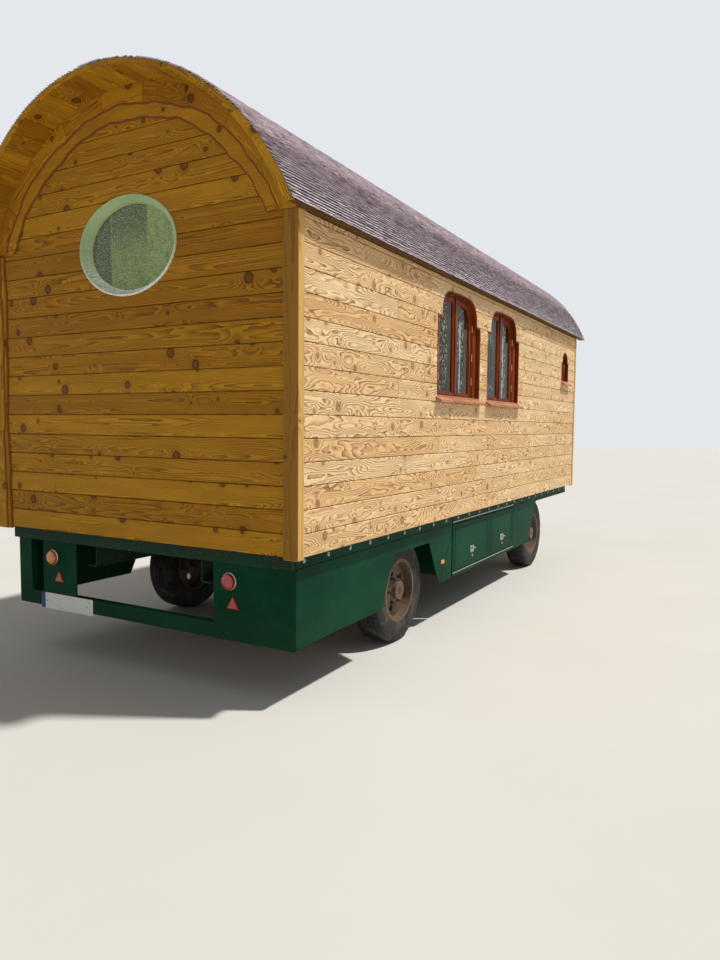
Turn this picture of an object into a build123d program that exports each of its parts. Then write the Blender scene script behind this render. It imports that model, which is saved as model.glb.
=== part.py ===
from build123d import *
from math import acos, asin, atan2, cos, degrees, hypot, pi, radians, sin
import os

os.makedirs("parts", exist_ok=True)

# Towed living wagon: a timber cabin with a raked barrel roof on a four wheeled
# turntable chassis. X is forward, Y to the left, Z up, millimetres. Stations
# along X are measured from the rear corner posts' face and moved by `rear`.

# Clearances
fit_gap = 0.3        # between an insert and its seat
pivot_gap = 0.3      # between a pin and its bore, all round
swing_gap = 6.0      # between a door or flap and its frame

# Cabin shell
cabin_length = 6290.0
cabin_width = 2550.0
cladding_bottom = 885.0
board_pitch = 130.3
groove_width = 8.0
groove_depth = 6.0
wall_thick = 95.0
post_width = 100.0       # of a corner post, seen on the gable
post_return = 60.0       # of a corner post, seen on the side
post_drop = 10.0         # of a corner post below the boards
side_setback = 5.0       # side boards behind the posts
gable_setback = 20.0     # gable boards behind the posts
floor_thick = 80.0

# Barrel roof, cut off level at the eaves and raked at both verges
eave_z = 2740.0
soffit_inset = 13.0              # of the soffit's foot from the posts' faces
soffit_rise = 875.0              # from the eaves to the soffit's crown
roof_thick = 45.0                # at the ridge, of planks and shingles
eave_overhang = 65.0             # of the shingles past the posts' faces
rear_verge = (130.0, 235.0)      # overhang at the eave, at the ridge
front_verge = (190.0, 240.0)
course_count = 14                # shingle courses on each slope
course_step = 12.0

# Live edged gable trim: a thinner waney band along the edge of each board
trim_width = 192.0
trim_band = 82.0
trim_wave = 13.0
trim_waves = 6
wave_turn = 1.9                  # radians from one point of a live edge to the next
live_post_width = 112.0
live_band = 30.0
band_turn = 0.7                  # radians by which the band's wave runs ahead
live_step = 8.5                  # down to the band from the board's face

# Oval window in the rear gable
oval_drop = 51.0                 # of its centre below the eaves
oval_half_width = 410.0
oval_half_height = 302.0
oval_lip = 12.0
oval_splay = 52.0
oval_squeeze = 0.73              # of the splay, above and below
oval_recess = 50.0
oval_rebate = 14.0
oval_glass = 8.0

# Joinery of the side windows
frame_setback = 38.0
frame_depth = 45.0
sash_setback = 8.0
frame_face = 20.0
sash_stile = 50.0
meeting_stiles = 108.0
pane_thick = 12.0
pane_setback = 12.0
sill_rise = 38.0         # under a window frame
sill_proud = 50.0
sill_fall = 35.0
sill_nose = 25.0
sill_horn = 20.0

# Side openings, with a shouldered three centred head. Heights are drops below
# the eaves: centre station, half width, frame foot, shoulder, arch half width,
# springing, haunch radius, crown, a pair of casements or one
narrow_from_front = 545.0
side_windows = (
    (2312.0, 462.0, 890.0, 290.0, 375.0, 250.0, 165.0, 78.0, True),
    (3417.0, 462.0, 890.0, 290.0, 375.0, 250.0, 165.0, 78.0, True),
    (cabin_length - narrow_from_front, 168.0, 565.0, 340.0, 125.0, 328.0, 95.0, 220.0, False),
)

# Entrance in the front gable
door_half_width = 400.0
door_height = 1675.0             # from the floor to the springing
door_rise = 240.0                # of the arch above it
door_haunch = 220.0
door_frame_face = 45.0
door_frame_proud = 12.0
door_thick = 44.0
door_rail = 95.0
door_waist = 0.56                # share of the height, at the handle and the light's foot
door_hinge_radius = 9.0
door_hinge_height = 70.0
door_hinge_shares = (0.14, 0.53, 0.887)
handle_reach = 55.0
handle_length = 120.0
handle_radius = 9.0
rose_radius = 26.0
rose_thick = 8.0

# Chassis
chassis_setback = 84.0           # of the side members behind the corner posts' faces
chassis_inset = 60.0             # behind the cabin's end faces
deck_height = 80.0
deck_flange = 50.0
deck_plate = 7.0
deck_bays = 8
rail_y = 500.0                   # main rails, springs and drawbar lugs
rail_width = 80.0
rail_height = 160.0
rail_plate = 8.0
rail_stop = 1145.0               # of the rails behind the front axle
rail_taper = 350.0
skirt_plate = 4.0
skirt_bottom = 355.0
skirt_rear = 100.0
skirt_gap = 25.0                 # between a skirt and the locker behind it
skirt_joint = 5.0                # and the one before it
locker_rear = 2410.0
locker_stop = 1035.0             # of the lockers behind the front axle
locker_depth = 440.0
locker_plate = 5.0
locker_post = 40.0
locker_sill = 40.0
locker_header = 14.0
locker_clear = 12.0              # of the box's hollow behind a flap
flap_hinge_z = 788.0
locker_width = 740.0             # of the front one
flap_thick = 20.0
flap_plate = 3.0
flap_rim = 14.0
flap_pin_radius = 5.0
flap_pin_reach = 18.0
flap_roll = 0.35                 # hinge radius, as a share of the thickness
bore_depth = 2.0                 # of a flap pin's bore past its end
arch_foot = (1130.0, 2120.0)     # rear wheel opening at the skirt's bottom
arch_head = (1320.0, 1920.0)     # and at its top
arch_top = 710.0
steer_back = (505.0, 205.0)      # the front wheel opening's edge behind the axle, foot and head
steer_top = 785.0

# Rear end
end_post_width = 125.0
end_depth = 50.0
end_bottom = 335.0
end_beam_top = 430.0
# Places in the rear end, left and right: how far in from the side members' faces
lamp_panels = ((251.0, 591.0), (125.0, 591.0))
lamp_panel_plate = 5.0
lamp_insets = (362.0, 465.0)
lamp_heights = (685.0, 691.0)
lamp_radius = 48.0
lamp_taper = 6.0
lamp_depth = 34.0
reflector_insets = (419.0, 441.0)
reflector_heights = (546.0, 553.0)
reflector_size = 56.0
reflector_depth = 9.0
plate_size = (520.0, 110.0)
plate_thick = 3.0
plate_round = 8.0
plate_inset = 486.0
plate_z = 374.0
marker_x = 2180.0
marker_z = 520.0
marker_size = (64.0, 34.0)
marker_depth = 12.0
marker_round = 6.0

# Wheels and axles
axle_rear = 1620.0
axle_from_front = 1195.0
tyre_radius = 385.0
tyre_width = 215.0
tyre_bulge = 0.48                # height of the widest place, as a share of the wall
shoulder_drop = 24.0
shoulder_inset = 7.0
tread_width = 176.0
bead_radius = 222.0
bead_width = 180.0
wheel_inset = 194.0              # of the wheels' middle planes from the side members' faces
rim_lip = 14.0
rim_plate = 9.0
hub_radius = 68.0
hub_inner = 40.0
hub_outer = 62.0
spindle_radius = 30.0
axle_box = 80.0
axle_box_inset = 92.0            # of its ends from the wheels' middle planes
disc_offset = 34.0
disc_dish = 26.0                 # of the hub's face ahead of the disc's root
disc_plate = 12.0
rim_flange = 5.0                 # thickness of the bead's flange
disc_hole_radius = 26.0
disc_hole_count = 5

# Leaf springs, hung below a rail from a pin in front and a slipper behind
leaf_count = 5
leaf_thick = 12.0
leaf_width = 60.0
leaf_half_span = 420.0
leaf_radius = 1500.0
leaf_pad = 8.0
leaf_taper = 1.5                 # leaves' worth of length left in the shortest
pad_margin = (30.0, 20.0)        # of an axle pad round the beam, round the spring
eye_radius = 24.0
eye_pin_radius = 12.0
slipper_radius = 15.0
cheek_thick = 8.0
cheek_gap = 2.0
cheek_half = 42.0
cheek_toe = 0.55                 # half width of a cheek's foot, as a share of the eye

# Turntable and drawbar
ring_outer = 500.0
ring_inner = 420.0
ring_upper_height = 55.0
dolly_height = 80.0
dolly_top = 700.0
dolly_rear = 500.0
dolly_front = 590.0
dolly_cross = (-430.0, 330.0)
kingpin_radius = 28.0
kingpin_plate = 150.0
kingpin_lap = 10.0               # of that plate into the ring
drawbar_pivot_x = 555.0          # ahead of the turntable's centre
drawbar_pivot_z = 450.0
drawbar_reach = 1900.0
drawbar_tube = 70.0
drawbar_pin_radius = 16.0
lug_thick = 14.0
lug_radius = 38.0
lug_toe = 0.5                    # half width of a lug's foot, as a share of its radius
eye_bore = 20.0                  # towing eye, radius
eye_outer = 55.0
eye_thick = 35.0
drawbar_neck = 330.0
drawbar_cheek = 40.0             # of straight tube before its lugs
drawbar_crotch = 180.0           # where the arms meet, behind the neck
drawbar_tongue = 60.0            # of the eye's shank between them
tie_share = 0.46
tie_width = 50.0
eye_neck = 0.55                  # half width of the eye's shank, as a share of a tube's

# Derived places
axle_front = cabin_length - axle_from_front
park_angle = degrees(
    asin(drawbar_pivot_z / hypot(drawbar_reach + eye_outer, eye_thick / 2))
    - atan2(eye_thick / 2, drawbar_reach + eye_outer)
)
drawbar_tip = (
    axle_front + drawbar_pivot_x
    + (drawbar_reach + eye_outer) * cos(radians(park_angle))
    + eye_thick / 2 * sin(radians(park_angle))
)
rear = (rear_verge[1] - drawbar_tip) / 2
front = rear + cabin_length
half_width = cabin_width / 2
deck_half = half_width - chassis_setback
track_half = deck_half - wheel_inset
axle_box_half = track_half - axle_box_inset
gable_arch_half = half_width - soffit_inset
soffit_radius = (gable_arch_half**2 + soffit_rise**2) / (2 * soffit_rise)
soffit_z = eave_z + soffit_rise
roof_axis_z = soffit_z - soffit_radius
shingle_half = half_width + eave_overhang
shingle_rise = soffit_rise + roof_thick
shingle_radius = (shingle_half**2 + shingle_rise**2) / (2 * shingle_rise)
side_face = half_width - side_setback
side_inner = side_face - wall_thick
gable_face = rear + gable_setback
gable_inner = gable_face + wall_thick
front_face = front - gable_setback
front_inner = front_face - wall_thick
floor_top = cladding_bottom + floor_thick
oval_z = eave_z - oval_drop
door_spring = floor_top + door_height
door_crown = door_spring + door_rise
door_waist_z = floor_top + door_waist * door_height
door_hinge_z = [floor_top + share * door_height for share in door_hinge_shares]
side_openings = [
    (x, half, eave_z - foot, eave_z - shoulder, arch_half, eave_z - spring, haunch, eave_z - crown, pair)
    for x, half, foot, shoulder, arch_half, spring, haunch, crown, pair in side_windows
]
deck_bottom = cladding_bottom - deck_height
deck_rear = rear + chassis_inset
deck_front = front - chassis_inset
skirt_face = deck_half + skirt_plate
rail_bottom = deck_bottom - rail_height
turn_x = rear + axle_front
locker_front = axle_front - locker_stop
locker_split = locker_front - locker_width
ring_bottom = deck_bottom - ring_upper_height
ridge_z = eave_z + shingle_rise
shingle_axis_z = ridge_z - shingle_radius
leaf_pack = leaf_count * leaf_thick
axle_top = tyre_radius + axle_box / 2
leaf_top = axle_top + leaf_pad + leaf_pack
leaf_centre_z = leaf_top + leaf_radius
eye_centre_radius = leaf_radius + leaf_thick - eye_radius
eye_angle = asin(leaf_half_span / eye_centre_radius)
eye_z = leaf_centre_z - eye_centre_radius * cos(eye_angle)
slipper_centre_radius = leaf_radius - fit_gap - slipper_radius
slipper_angle = asin((leaf_half_span - eye_radius) / slipper_centre_radius)
slipper_z = leaf_centre_z - slipper_centre_radius * cos(slipper_angle)
spring_inner = leaf_width / 2 + cheek_gap


def head_points(arch_half, springing, haunch, crown):
    # Tangent points of a three centred arch: a haunch arc of the given radius
    # on each side, met by one flat arc through the crown.
    offset_x = arch_half - haunch
    rise = crown - springing
    top = (offset_x**2 + rise**2 - haunch**2) / (2 * (rise - haunch))
    turn = atan2(springing - crown + top, offset_x)
    middle = (offset_x + haunch * cos(turn / 2), springing + haunch * sin(turn / 2))
    end = (offset_x + haunch * cos(turn), springing + haunch * sin(turn))
    return middle, end


def arched_face(half, foot, shoulder, arch_half, springing, haunch, crown):
    # Outline of a shouldered arch about x = 0, as a private face.
    middle, end = head_points(arch_half, springing, haunch, crown)
    with BuildSketch(mode=Mode.PRIVATE) as outline:
        with BuildLine():
            Polyline(
                (-arch_half, springing), (-arch_half, shoulder), (-half, shoulder),
                (-half, foot), (half, foot), (half, shoulder),
                (arch_half, shoulder), (arch_half, springing),
            )
            ThreePointArc((arch_half, springing), middle, end)
            ThreePointArc(end, (0, crown), (-end[0], end[1]))
            ThreePointArc((-end[0], end[1]), (-middle[0], middle[1]), (-arch_half, springing))
        make_face()
    return outline.sketch


def plain_arch(half, foot, springing, haunch, crown):
    # Outline of an arch without shoulders, about x = 0, as a private face.
    middle, end = head_points(half, springing, haunch, crown)
    with BuildSketch(mode=Mode.PRIVATE) as outline:
        with BuildLine():
            Polyline((-half, springing), (-half, foot), (half, foot), (half, springing))
            ThreePointArc((half, springing), middle, end)
            ThreePointArc(end, (0, crown), (-end[0], end[1]))
            ThreePointArc((-end[0], end[1]), (-middle[0], middle[1]), (-half, springing))
        make_face()
    return outline.sketch


def clad_profile(face, thick, top):
    # Wall section in (depth, height), boards with V joints, outside at `face`
    # and the lining at face - thick.
    points = [(face - thick, cladding_bottom), (face, cladding_bottom)]
    row = cladding_bottom + board_pitch
    while row < top - groove_width:
        points += [
            (face, row - groove_width / 2),
            (face - groove_depth, row),
            (face, row + groove_width / 2),
        ]
        row += board_pitch
    return points + [(face, top), (face - thick, top)]


def side_plane(distance):
    # Plane parallel to the right side wall, facing outwards; local x runs
    # forward from the rear posts' face, local y is the height.
    return Plane(origin=(rear, -distance, 0), x_dir=(1, 0, 0), z_dir=(0, -1, 0))


def wheel_plane(x, y, side):
    # Section plane of a wheel; local x points outboard, local y is the radius.
    return Plane(origin=(x, y, tyre_radius), x_dir=(0, side, 0), z_dir=(side, 0, 0))


def save(piece, label):
    piece.part.label = label
    export_step(piece.part, f"parts/{label}.step")


# Floor slab between the walls.
with BuildPart() as floor:
    with BuildSketch(Plane.XY.offset(cladding_bottom)):
        with Locations(((gable_inner + front_inner) / 2, 0)):
            Rectangle(front_inner - gable_inner, 2 * side_inner)
    extrude(amount=floor_thick)
save(floor, "floor")

# Right wall: grooved boards over the whole length, windows cut through.
with BuildPart() as wall_right:
    with BuildSketch(Plane(origin=(rear + post_return, 0, 0), x_dir=(0, -1, 0), z_dir=(-1, 0, 0))):
        with BuildLine():
            Polyline(*clad_profile(side_face, wall_thick, eave_z), close=True)
        make_face()
    extrude(amount=-(cabin_length - 2 * post_return))
    for x, half, foot, shoulder, arch_half, spring, haunch, crown, pair in side_openings:
        with BuildSketch(side_plane(side_inner)):
            with Locations((x, 0)):
                add(arched_face(half, foot - sill_rise, shoulder, arch_half, spring, haunch, crown))
        extrude(amount=wall_thick, mode=Mode.SUBTRACT)
save(wall_right, "wall_right")

# Window frames with their casements, behind the boards' face.
with BuildPart() as windows_right:
    for x, half, foot, shoulder, arch_half, spring, haunch, crown, pair in side_openings:
        frame_plane = side_plane(side_face - frame_setback)
        sash_half = arch_half - frame_face
        sash_foot = foot + frame_face
        sash_args = (sash_half, sash_foot, spring, haunch - frame_face, crown - frame_face)
        pane_args = (
            sash_half - sash_stile, sash_foot + sash_stile, spring,
            haunch - frame_face - sash_stile, crown - frame_face - sash_stile,
        )
        with BuildSketch(frame_plane):
            with Locations((x, 0)):
                add(arched_face(
                    half - fit_gap, foot + fit_gap, shoulder - fit_gap, arch_half - fit_gap,
                    spring, haunch - fit_gap, crown - fit_gap,
                ))
                add(plain_arch(*sash_args), mode=Mode.SUBTRACT)
        extrude(amount=-frame_depth)
        with BuildSketch(frame_plane.offset(-sash_setback)):
            with Locations((x, 0)):
                add(plain_arch(*sash_args))
                add(plain_arch(*pane_args), mode=Mode.SUBTRACT)
                if pair:
                    with Locations((0, (sash_foot + crown - frame_face) / 2)):
                        Rectangle(meeting_stiles, crown - sash_foot - sash_stile - frame_face)
        extrude(amount=-(frame_depth - sash_setback))
save(windows_right, "windows_right")

# Panes, one in each casement.
with BuildPart() as glass_right:
    for x, half, foot, shoulder, arch_half, spring, haunch, crown, pair in side_openings:
        with BuildSketch(side_plane(side_face - frame_setback - sash_setback - pane_setback)):
            with Locations((x, 0)):
                add(plain_arch(
                    arch_half - frame_face - sash_stile - fit_gap,
                    foot + frame_face + sash_stile + fit_gap, spring,
                    haunch - frame_face - sash_stile - fit_gap,
                    crown - frame_face - sash_stile - fit_gap,
                ))
                if pair:
                    with Locations((0, (foot + crown) / 2)):
                        Rectangle(meeting_stiles + 2 * fit_gap, crown, mode=Mode.SUBTRACT)
        extrude(amount=-pane_thick)
save(glass_right, "glass_right")

# Sloping sills: a tongue under the frame and a nosing proud of the boards.
with BuildPart() as sills_right:
    for x, half, foot, shoulder, arch_half, spring, haunch, crown, pair in side_openings:
        seat = foot - sill_rise
        frame_front = side_face - frame_setback
        nose = side_face + sill_proud
        slope = sill_fall / (sill_proud + frame_setback)
        face_z = foot - slope * frame_setback
        tongue = [
            (frame_front - frame_depth, seat), (side_face, seat), (side_face, face_z),
            (frame_front, foot), (frame_front - frame_depth, foot),
        ]
        nosing = [
            (side_face, seat), (nose, foot - sill_fall - sill_nose),
            (nose, foot - sill_fall), (side_face, face_z),
        ]
        for outline, reach in ((tongue, half - fit_gap), (nosing, half + sill_horn)):
            end_plane = Plane(origin=(rear + x - reach, 0, 0), x_dir=(0, -1, 0), z_dir=(-1, 0, 0))
            with BuildSketch(end_plane):
                with BuildLine():
                    Polyline(*outline, close=True)
                make_face()
            extrude(amount=-2 * reach)
save(sills_right, "sills_right")

# Gable walls: boards to the soffit, standing between the corner posts.
with BuildSketch(mode=Mode.PRIVATE) as gable_outline:
    with Locations((0, (cladding_bottom + eave_z) / 2)):
        Rectangle(2 * side_inner, eave_z - cladding_bottom)
    with BuildLine():
        Line((-gable_arch_half, eave_z), (gable_arch_half, eave_z))
        ThreePointArc(
            (gable_arch_half, eave_z), (0, roof_axis_z + soffit_radius), (-gable_arch_half, eave_z)
        )
    make_face()

with BuildPart() as wall_rear:
    with BuildSketch(Plane(origin=(0, half_width, 0), x_dir=(-1, 0, 0), z_dir=(0, 1, 0))):
        with BuildLine():
            Polyline(*clad_profile(-gable_face, wall_thick, soffit_z), close=True)
        make_face()
    extrude(amount=-cabin_width)
    with BuildSketch(Plane.YZ.offset(gable_face)):
        add(gable_outline.sketch)
    extrude(amount=wall_thick, mode=Mode.INTERSECT)
    with BuildSketch(Plane.YZ.offset(gable_face)):
        with Locations((0, oval_z)):
            Ellipse(oval_half_width, oval_half_height)
    extrude(amount=wall_thick, mode=Mode.SUBTRACT)
save(wall_rear, "wall_rear")

door_opening = (door_half_width, floor_top, door_spring, door_haunch, door_crown)
with BuildPart() as wall_front:
    with BuildSketch(Plane(origin=(0, -half_width, 0), x_dir=(1, 0, 0), z_dir=(0, -1, 0))):
        with BuildLine():
            Polyline(*clad_profile(front_face, wall_thick, soffit_z), close=True)
        make_face()
    extrude(amount=-cabin_width)
    with BuildSketch(Plane.YZ.offset(front_inner)):
        add(gable_outline.sketch)
    extrude(amount=wall_thick, mode=Mode.INTERSECT)
    with BuildSketch(Plane.YZ.offset(front_inner)):
        add(plain_arch(*door_opening))
    extrude(amount=wall_thick, mode=Mode.SUBTRACT)
save(wall_front, "wall_front")

# Splayed ring of the oval window, its back rebated for the glass.
with BuildPart() as oval_ring:
    with BuildSketch(Plane.YZ.offset(gable_face)):
        with Locations((0, oval_z)):
            Ellipse(oval_half_width - fit_gap, oval_half_height - fit_gap)
    extrude(amount=wall_thick)
    splay_inner = (oval_half_width - oval_splay, oval_half_height - oval_splay * oval_squeeze)
    with BuildSketch(Plane.YZ.offset(gable_face)):
        with Locations((0, oval_z)):
            Ellipse(oval_half_width - oval_lip, oval_half_height - oval_lip)
    with BuildSketch(Plane.YZ.offset(gable_face + oval_recess)):
        with Locations((0, oval_z)):
            Ellipse(*splay_inner)
    loft(mode=Mode.SUBTRACT)
    with BuildSketch(Plane.YZ.offset(gable_face + oval_recess)):
        with Locations((0, oval_z)):
            Ellipse(splay_inner[0] + oval_rebate, splay_inner[1] + oval_rebate)
    extrude(amount=wall_thick, mode=Mode.SUBTRACT)
save(oval_ring, "oval_ring")

with BuildPart() as oval_pane:
    with BuildSketch(Plane.YZ.offset(gable_face + oval_recess)):
        with Locations((0, oval_z)):
            Ellipse(splay_inner[0] + oval_rebate - fit_gap, splay_inner[1] + oval_rebate - fit_gap)
    extrude(amount=oval_glass)
save(oval_pane, "oval_glass")

# Corner posts: three straight ones, and at the rear left a live edged board.
post_bottom = cladding_bottom - post_drop
with BuildPart() as post_rear_right:
    with BuildSketch(Plane.XY.offset(post_bottom)):
        with Locations((rear + post_return / 2, -half_width + post_width / 2)):
            Rectangle(post_return, post_width)
    extrude(amount=eave_z - post_bottom)
save(post_rear_right, "post_rear_right")

with BuildPart() as posts_front:
    with BuildSketch(Plane.XY.offset(post_bottom)):
        for side in (-1, 1):
            with Locations((front - post_return / 2, side * (half_width + side_inner) / 2)):
                Rectangle(post_return, half_width - side_inner)
    extrude(amount=eave_z - post_bottom)
save(posts_front, "posts_front")


def live_layers(band):
    # Layers of a live edged board over the gable: how far back its edge is drawn
    # from the log's edge, how far it stands out, and where its wave begins.
    return (0.0, gable_setback - live_step, 0.0), (band, gable_setback, band_turn)



# The live edge waves about its mean width, by a spline through even points.
wave_step = (eave_z - post_bottom) / trim_waves
with BuildPart() as post_rear_left:
    with BuildSketch(Plane.XY.offset(post_bottom)):
        with Locations((rear + (live_step + post_return) / 2, (half_width + side_inner) / 2)):
            Rectangle(post_return - live_step, half_width - side_inner)
    extrude(amount=eave_z - post_bottom)
    for margin, depth, turn in live_layers(live_band):
        edge = [
            (
                half_width - live_post_width + margin + trim_wave * sin(wave_turn * k + turn),
                post_bottom + k * wave_step,
            )
            for k in range(trim_waves + 1)
        ]
        with BuildSketch(Plane.YZ.offset(gable_face)):
            with BuildLine():
                Spline(*edge)
                Polyline(edge[-1], (half_width, eave_z), (half_width, post_bottom), edge[0])
            make_face()
        extrude(amount=-depth)
save(post_rear_left, "post_rear_left")


def trim_points(margin, turn):
    # Inner edge of the arched trim, waving like the log it was sawn from.
    points = []
    for k in range(trim_steps + 1):
        angle = trim_start + (pi - 2 * trim_start) * k / trim_steps
        reach = soffit_radius - trim_width + margin + trim_wave * sin(wave_turn * k + turn)
        points.append((reach * cos(angle), roof_axis_z + reach * sin(angle)))
    return points


# Arched trim below each verge, its outer edge on the soffit.
trim_start = asin((eave_z - roof_axis_z) / soffit_radius)
trim_steps = 2 * trim_waves
low = eave_z + fit_gap
low_reach = (soffit_radius**2 - (low - roof_axis_z) ** 2) ** 0.5
for label, face, way in (("gable_trim_rear", gable_face, -1), ("gable_trim_front", front_face, 1)):
    with BuildPart() as trim:
        for margin, depth, turn in live_layers(trim_band):
            edge = trim_points(margin, turn)
            with BuildSketch(Plane.YZ.offset(face)):
                with BuildLine():
                    Spline(*edge)
                    Polyline(edge[-1], (-low_reach, low))
                    ThreePointArc((-low_reach, low), (0, soffit_z), (low_reach, low))
                    Polyline((low_reach, low), edge[0])
                make_face()
                with Locations((0, eave_z)):
                    Rectangle(
                        cabin_width, soffit_rise, align=(Align.CENTER, Align.MAX), mode=Mode.SUBTRACT
                    )
            extrude(amount=way * depth)
    save(trim, label)

# Roof shell: one section with its lapped courses, run through and then cut to
# the raked verges in side view.
outer_turn = acos((eave_z - shingle_axis_z) / shingle_radius)
course_turn = outer_turn / (course_count + 0.5)
with BuildPart() as roof:
    slope_points = []
    for course in range(course_count):
        low = outer_turn - course * course_turn
        high = low - course_turn
        inner = shingle_radius - course_step
        slope_points += [
            (shingle_radius * sin(low), shingle_axis_z + shingle_radius * cos(low)),
            (inner * sin(high), shingle_axis_z + inner * cos(high)),
        ]
    cap = course_turn / 2
    slope_points += [
        (shingle_radius * sin(cap), shingle_axis_z + shingle_radius * cos(cap)),
        (0, ridge_z),
    ]
    mirrored_points = [(-y, z) for y, z in reversed(slope_points[:-1])]
    with BuildSketch(Plane.YZ.offset(rear - rear_verge[1])):
        with BuildLine():
            Polyline(*slope_points, *mirrored_points)
            Line(mirrored_points[-1], (-gable_arch_half, eave_z))
            ThreePointArc((-gable_arch_half, eave_z), (0, soffit_z), (gable_arch_half, eave_z))
            Line((gable_arch_half, eave_z), slope_points[0])
        make_face()
    extrude(amount=rear_verge[1] + cabin_length + front_verge[1])
    with BuildSketch(Plane.XZ.offset(-shingle_radius)):
        with BuildLine():
            Polyline(
                (rear - rear_verge[0], eave_z), (front + front_verge[0], eave_z),
                (front + front_verge[1], ridge_z), (rear - rear_verge[1], ridge_z), close=True,
            )
        make_face()
    extrude(amount=2 * shingle_radius, mode=Mode.INTERSECT)
save(roof, "roof")

# Door frame lining the opening, with the pins of the lift off hinges.
door_axis_y = door_half_width - door_frame_face
door_axis_x = front_face + door_frame_proud + door_hinge_radius + pivot_gap
leaf_half = door_half_width - door_frame_face - swing_gap
leaf_args = (
    leaf_half, floor_top + swing_gap, door_spring,
    door_haunch - door_frame_face - swing_gap, door_crown - door_frame_face - swing_gap,
)
pin_radius = door_hinge_radius / 2
with BuildPart() as door_frame:
    with BuildSketch(Plane.YZ.offset(front_inner)):
        add(plain_arch(
            door_half_width - fit_gap, floor_top, door_spring,
            door_haunch - fit_gap, door_crown - fit_gap,
        ))
        add(plain_arch(
            door_half_width - door_frame_face, floor_top, door_spring,
            door_haunch - door_frame_face, door_crown - door_frame_face,
        ), mode=Mode.SUBTRACT)
    extrude(amount=wall_thick + door_frame_proud)
    for z in door_hinge_z:
        with BuildSketch(Plane.XY.offset(z - door_hinge_height / 2)):
            with Locations((door_axis_x, door_axis_y)):
                Circle(door_hinge_radius)
            with Locations((door_axis_x, door_axis_y)):
                Rectangle(
                    door_hinge_radius + pivot_gap, door_frame_face / 2, align=(Align.MAX, Align.MIN)
                )
        extrude(amount=door_hinge_height / 2)
        with BuildSketch(Plane.XY.offset(z)):
            with Locations((door_axis_x, door_axis_y)):
                Circle(pin_radius)
        extrude(amount=door_hinge_height / 2 - pin_radius)
save(door_frame, "door_frame")

# Door leaf with an arched light above its middle rail.
light_args = (
    leaf_half - door_rail, door_waist_z, door_spring,
    door_haunch - door_frame_face - swing_gap - door_rail,
    door_crown - door_frame_face - swing_gap - door_rail,
)
leaf_face = front_face + door_frame_proud
with BuildPart() as door_leaf:
    with BuildSketch(Plane.YZ.offset(leaf_face - door_thick)):
        add(plain_arch(*leaf_args))
        add(plain_arch(*light_args), mode=Mode.SUBTRACT)
    extrude(amount=door_thick)
    for z in door_hinge_z:
        with BuildSketch(Plane.XY.offset(z + pivot_gap)):
            with Locations((door_axis_x, door_axis_y)):
                Circle(door_hinge_radius)
            with Locations((door_axis_x, door_axis_y)):
                Rectangle(
                    door_hinge_radius, swing_gap + door_rail / 2, align=(Align.MAX, Align.MAX)
                )
            with Locations((leaf_face, door_axis_y - swing_gap)):
                Rectangle(door_hinge_radius, door_rail / 2, align=(Align.MIN, Align.MAX))
            with Locations((door_axis_x, door_axis_y)):
                Circle(pin_radius + pivot_gap, mode=Mode.SUBTRACT)
        extrude(amount=door_hinge_height / 2)
save(door_leaf, "door_leaf")

with BuildPart() as door_glass:
    with BuildSketch(Plane.YZ.offset(leaf_face - door_thick / 2 - pane_thick / 2)):
        add(plain_arch(
            light_args[0] - fit_gap, light_args[1] + fit_gap, light_args[2],
            light_args[3] - fit_gap, light_args[4] - fit_gap,
        ))
    extrude(amount=pane_thick)
save(door_glass, "door_glass")

# Lever handle: a rose, a neck and a bent grip.
handle_y = -leaf_half + door_rail / 2
with BuildPart() as door_handle:
    with BuildSketch(Plane.YZ.offset(leaf_face)):
        with Locations((handle_y, door_waist_z)):
            Circle(rose_radius)
    extrude(amount=rose_thick)
    with BuildLine() as grip:
        FilletPolyline(
            (leaf_face, handle_y, door_waist_z),
            (leaf_face + handle_reach, handle_y, door_waist_z),
            (leaf_face + handle_reach, handle_y + handle_length, door_waist_z),
            radius=2 * handle_radius,
        )
    with BuildSketch(Plane(origin=grip.line @ 0, z_dir=grip.line % 0)):
        Circle(handle_radius)
    sweep(path=grip.line)
save(door_handle, "door_handle")

# Deck frame: a grid of I sections, its flanges and its webs as two plans.
deck_length = deck_front - deck_rear
bay = (deck_length - deck_flange) / deck_bays
cross_stations = [deck_rear + deck_flange / 2 + k * bay for k in range(deck_bays + 1)]
deck_mid = (deck_rear + deck_front) / 2


def deck_plan(width):
    with BuildSketch(mode=Mode.PRIVATE) as plan:
        with Locations((deck_mid, 0)):
            Rectangle(deck_length, 2 * deck_half)
            Rectangle(deck_length - 2 * width, 2 * deck_half - 2 * width, mode=Mode.SUBTRACT)
        for x in cross_stations[1:-1]:
            with Locations((x, 0)):
                Rectangle(width, 2 * deck_half)
        for side in (-1, 1):
            with Locations((deck_mid, side * rail_y)):
                Rectangle(deck_length, width)
    return plan.sketch


with BuildPart() as deck_frame:
    for z in (deck_bottom, cladding_bottom - deck_plate):
        with BuildSketch(Plane.XY.offset(z)):
            add(deck_plan(deck_flange))
        extrude(amount=deck_plate)
    with BuildSketch(Plane.XY.offset(deck_bottom)):
        add(deck_plan(deck_plate))
    extrude(amount=deck_height)
save(deck_frame, "deck_frame")


def hanger(x, centre_z, top, radius):
    # Cheek plate outline in side view: a chamfered foot about the pin, widening
    # to the rail above.
    toe = cheek_toe * radius
    with BuildSketch(mode=Mode.PRIVATE) as outline:
        with BuildLine():
            Polyline(
                (x - radius, centre_z), (x - cheek_half, top), (x + cheek_half, top),
                (x + radius, centre_z), (x + toe, centre_z - radius), (x - toe, centre_z - radius),
                close=True,
            )
        make_face()
    return outline.sketch


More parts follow.
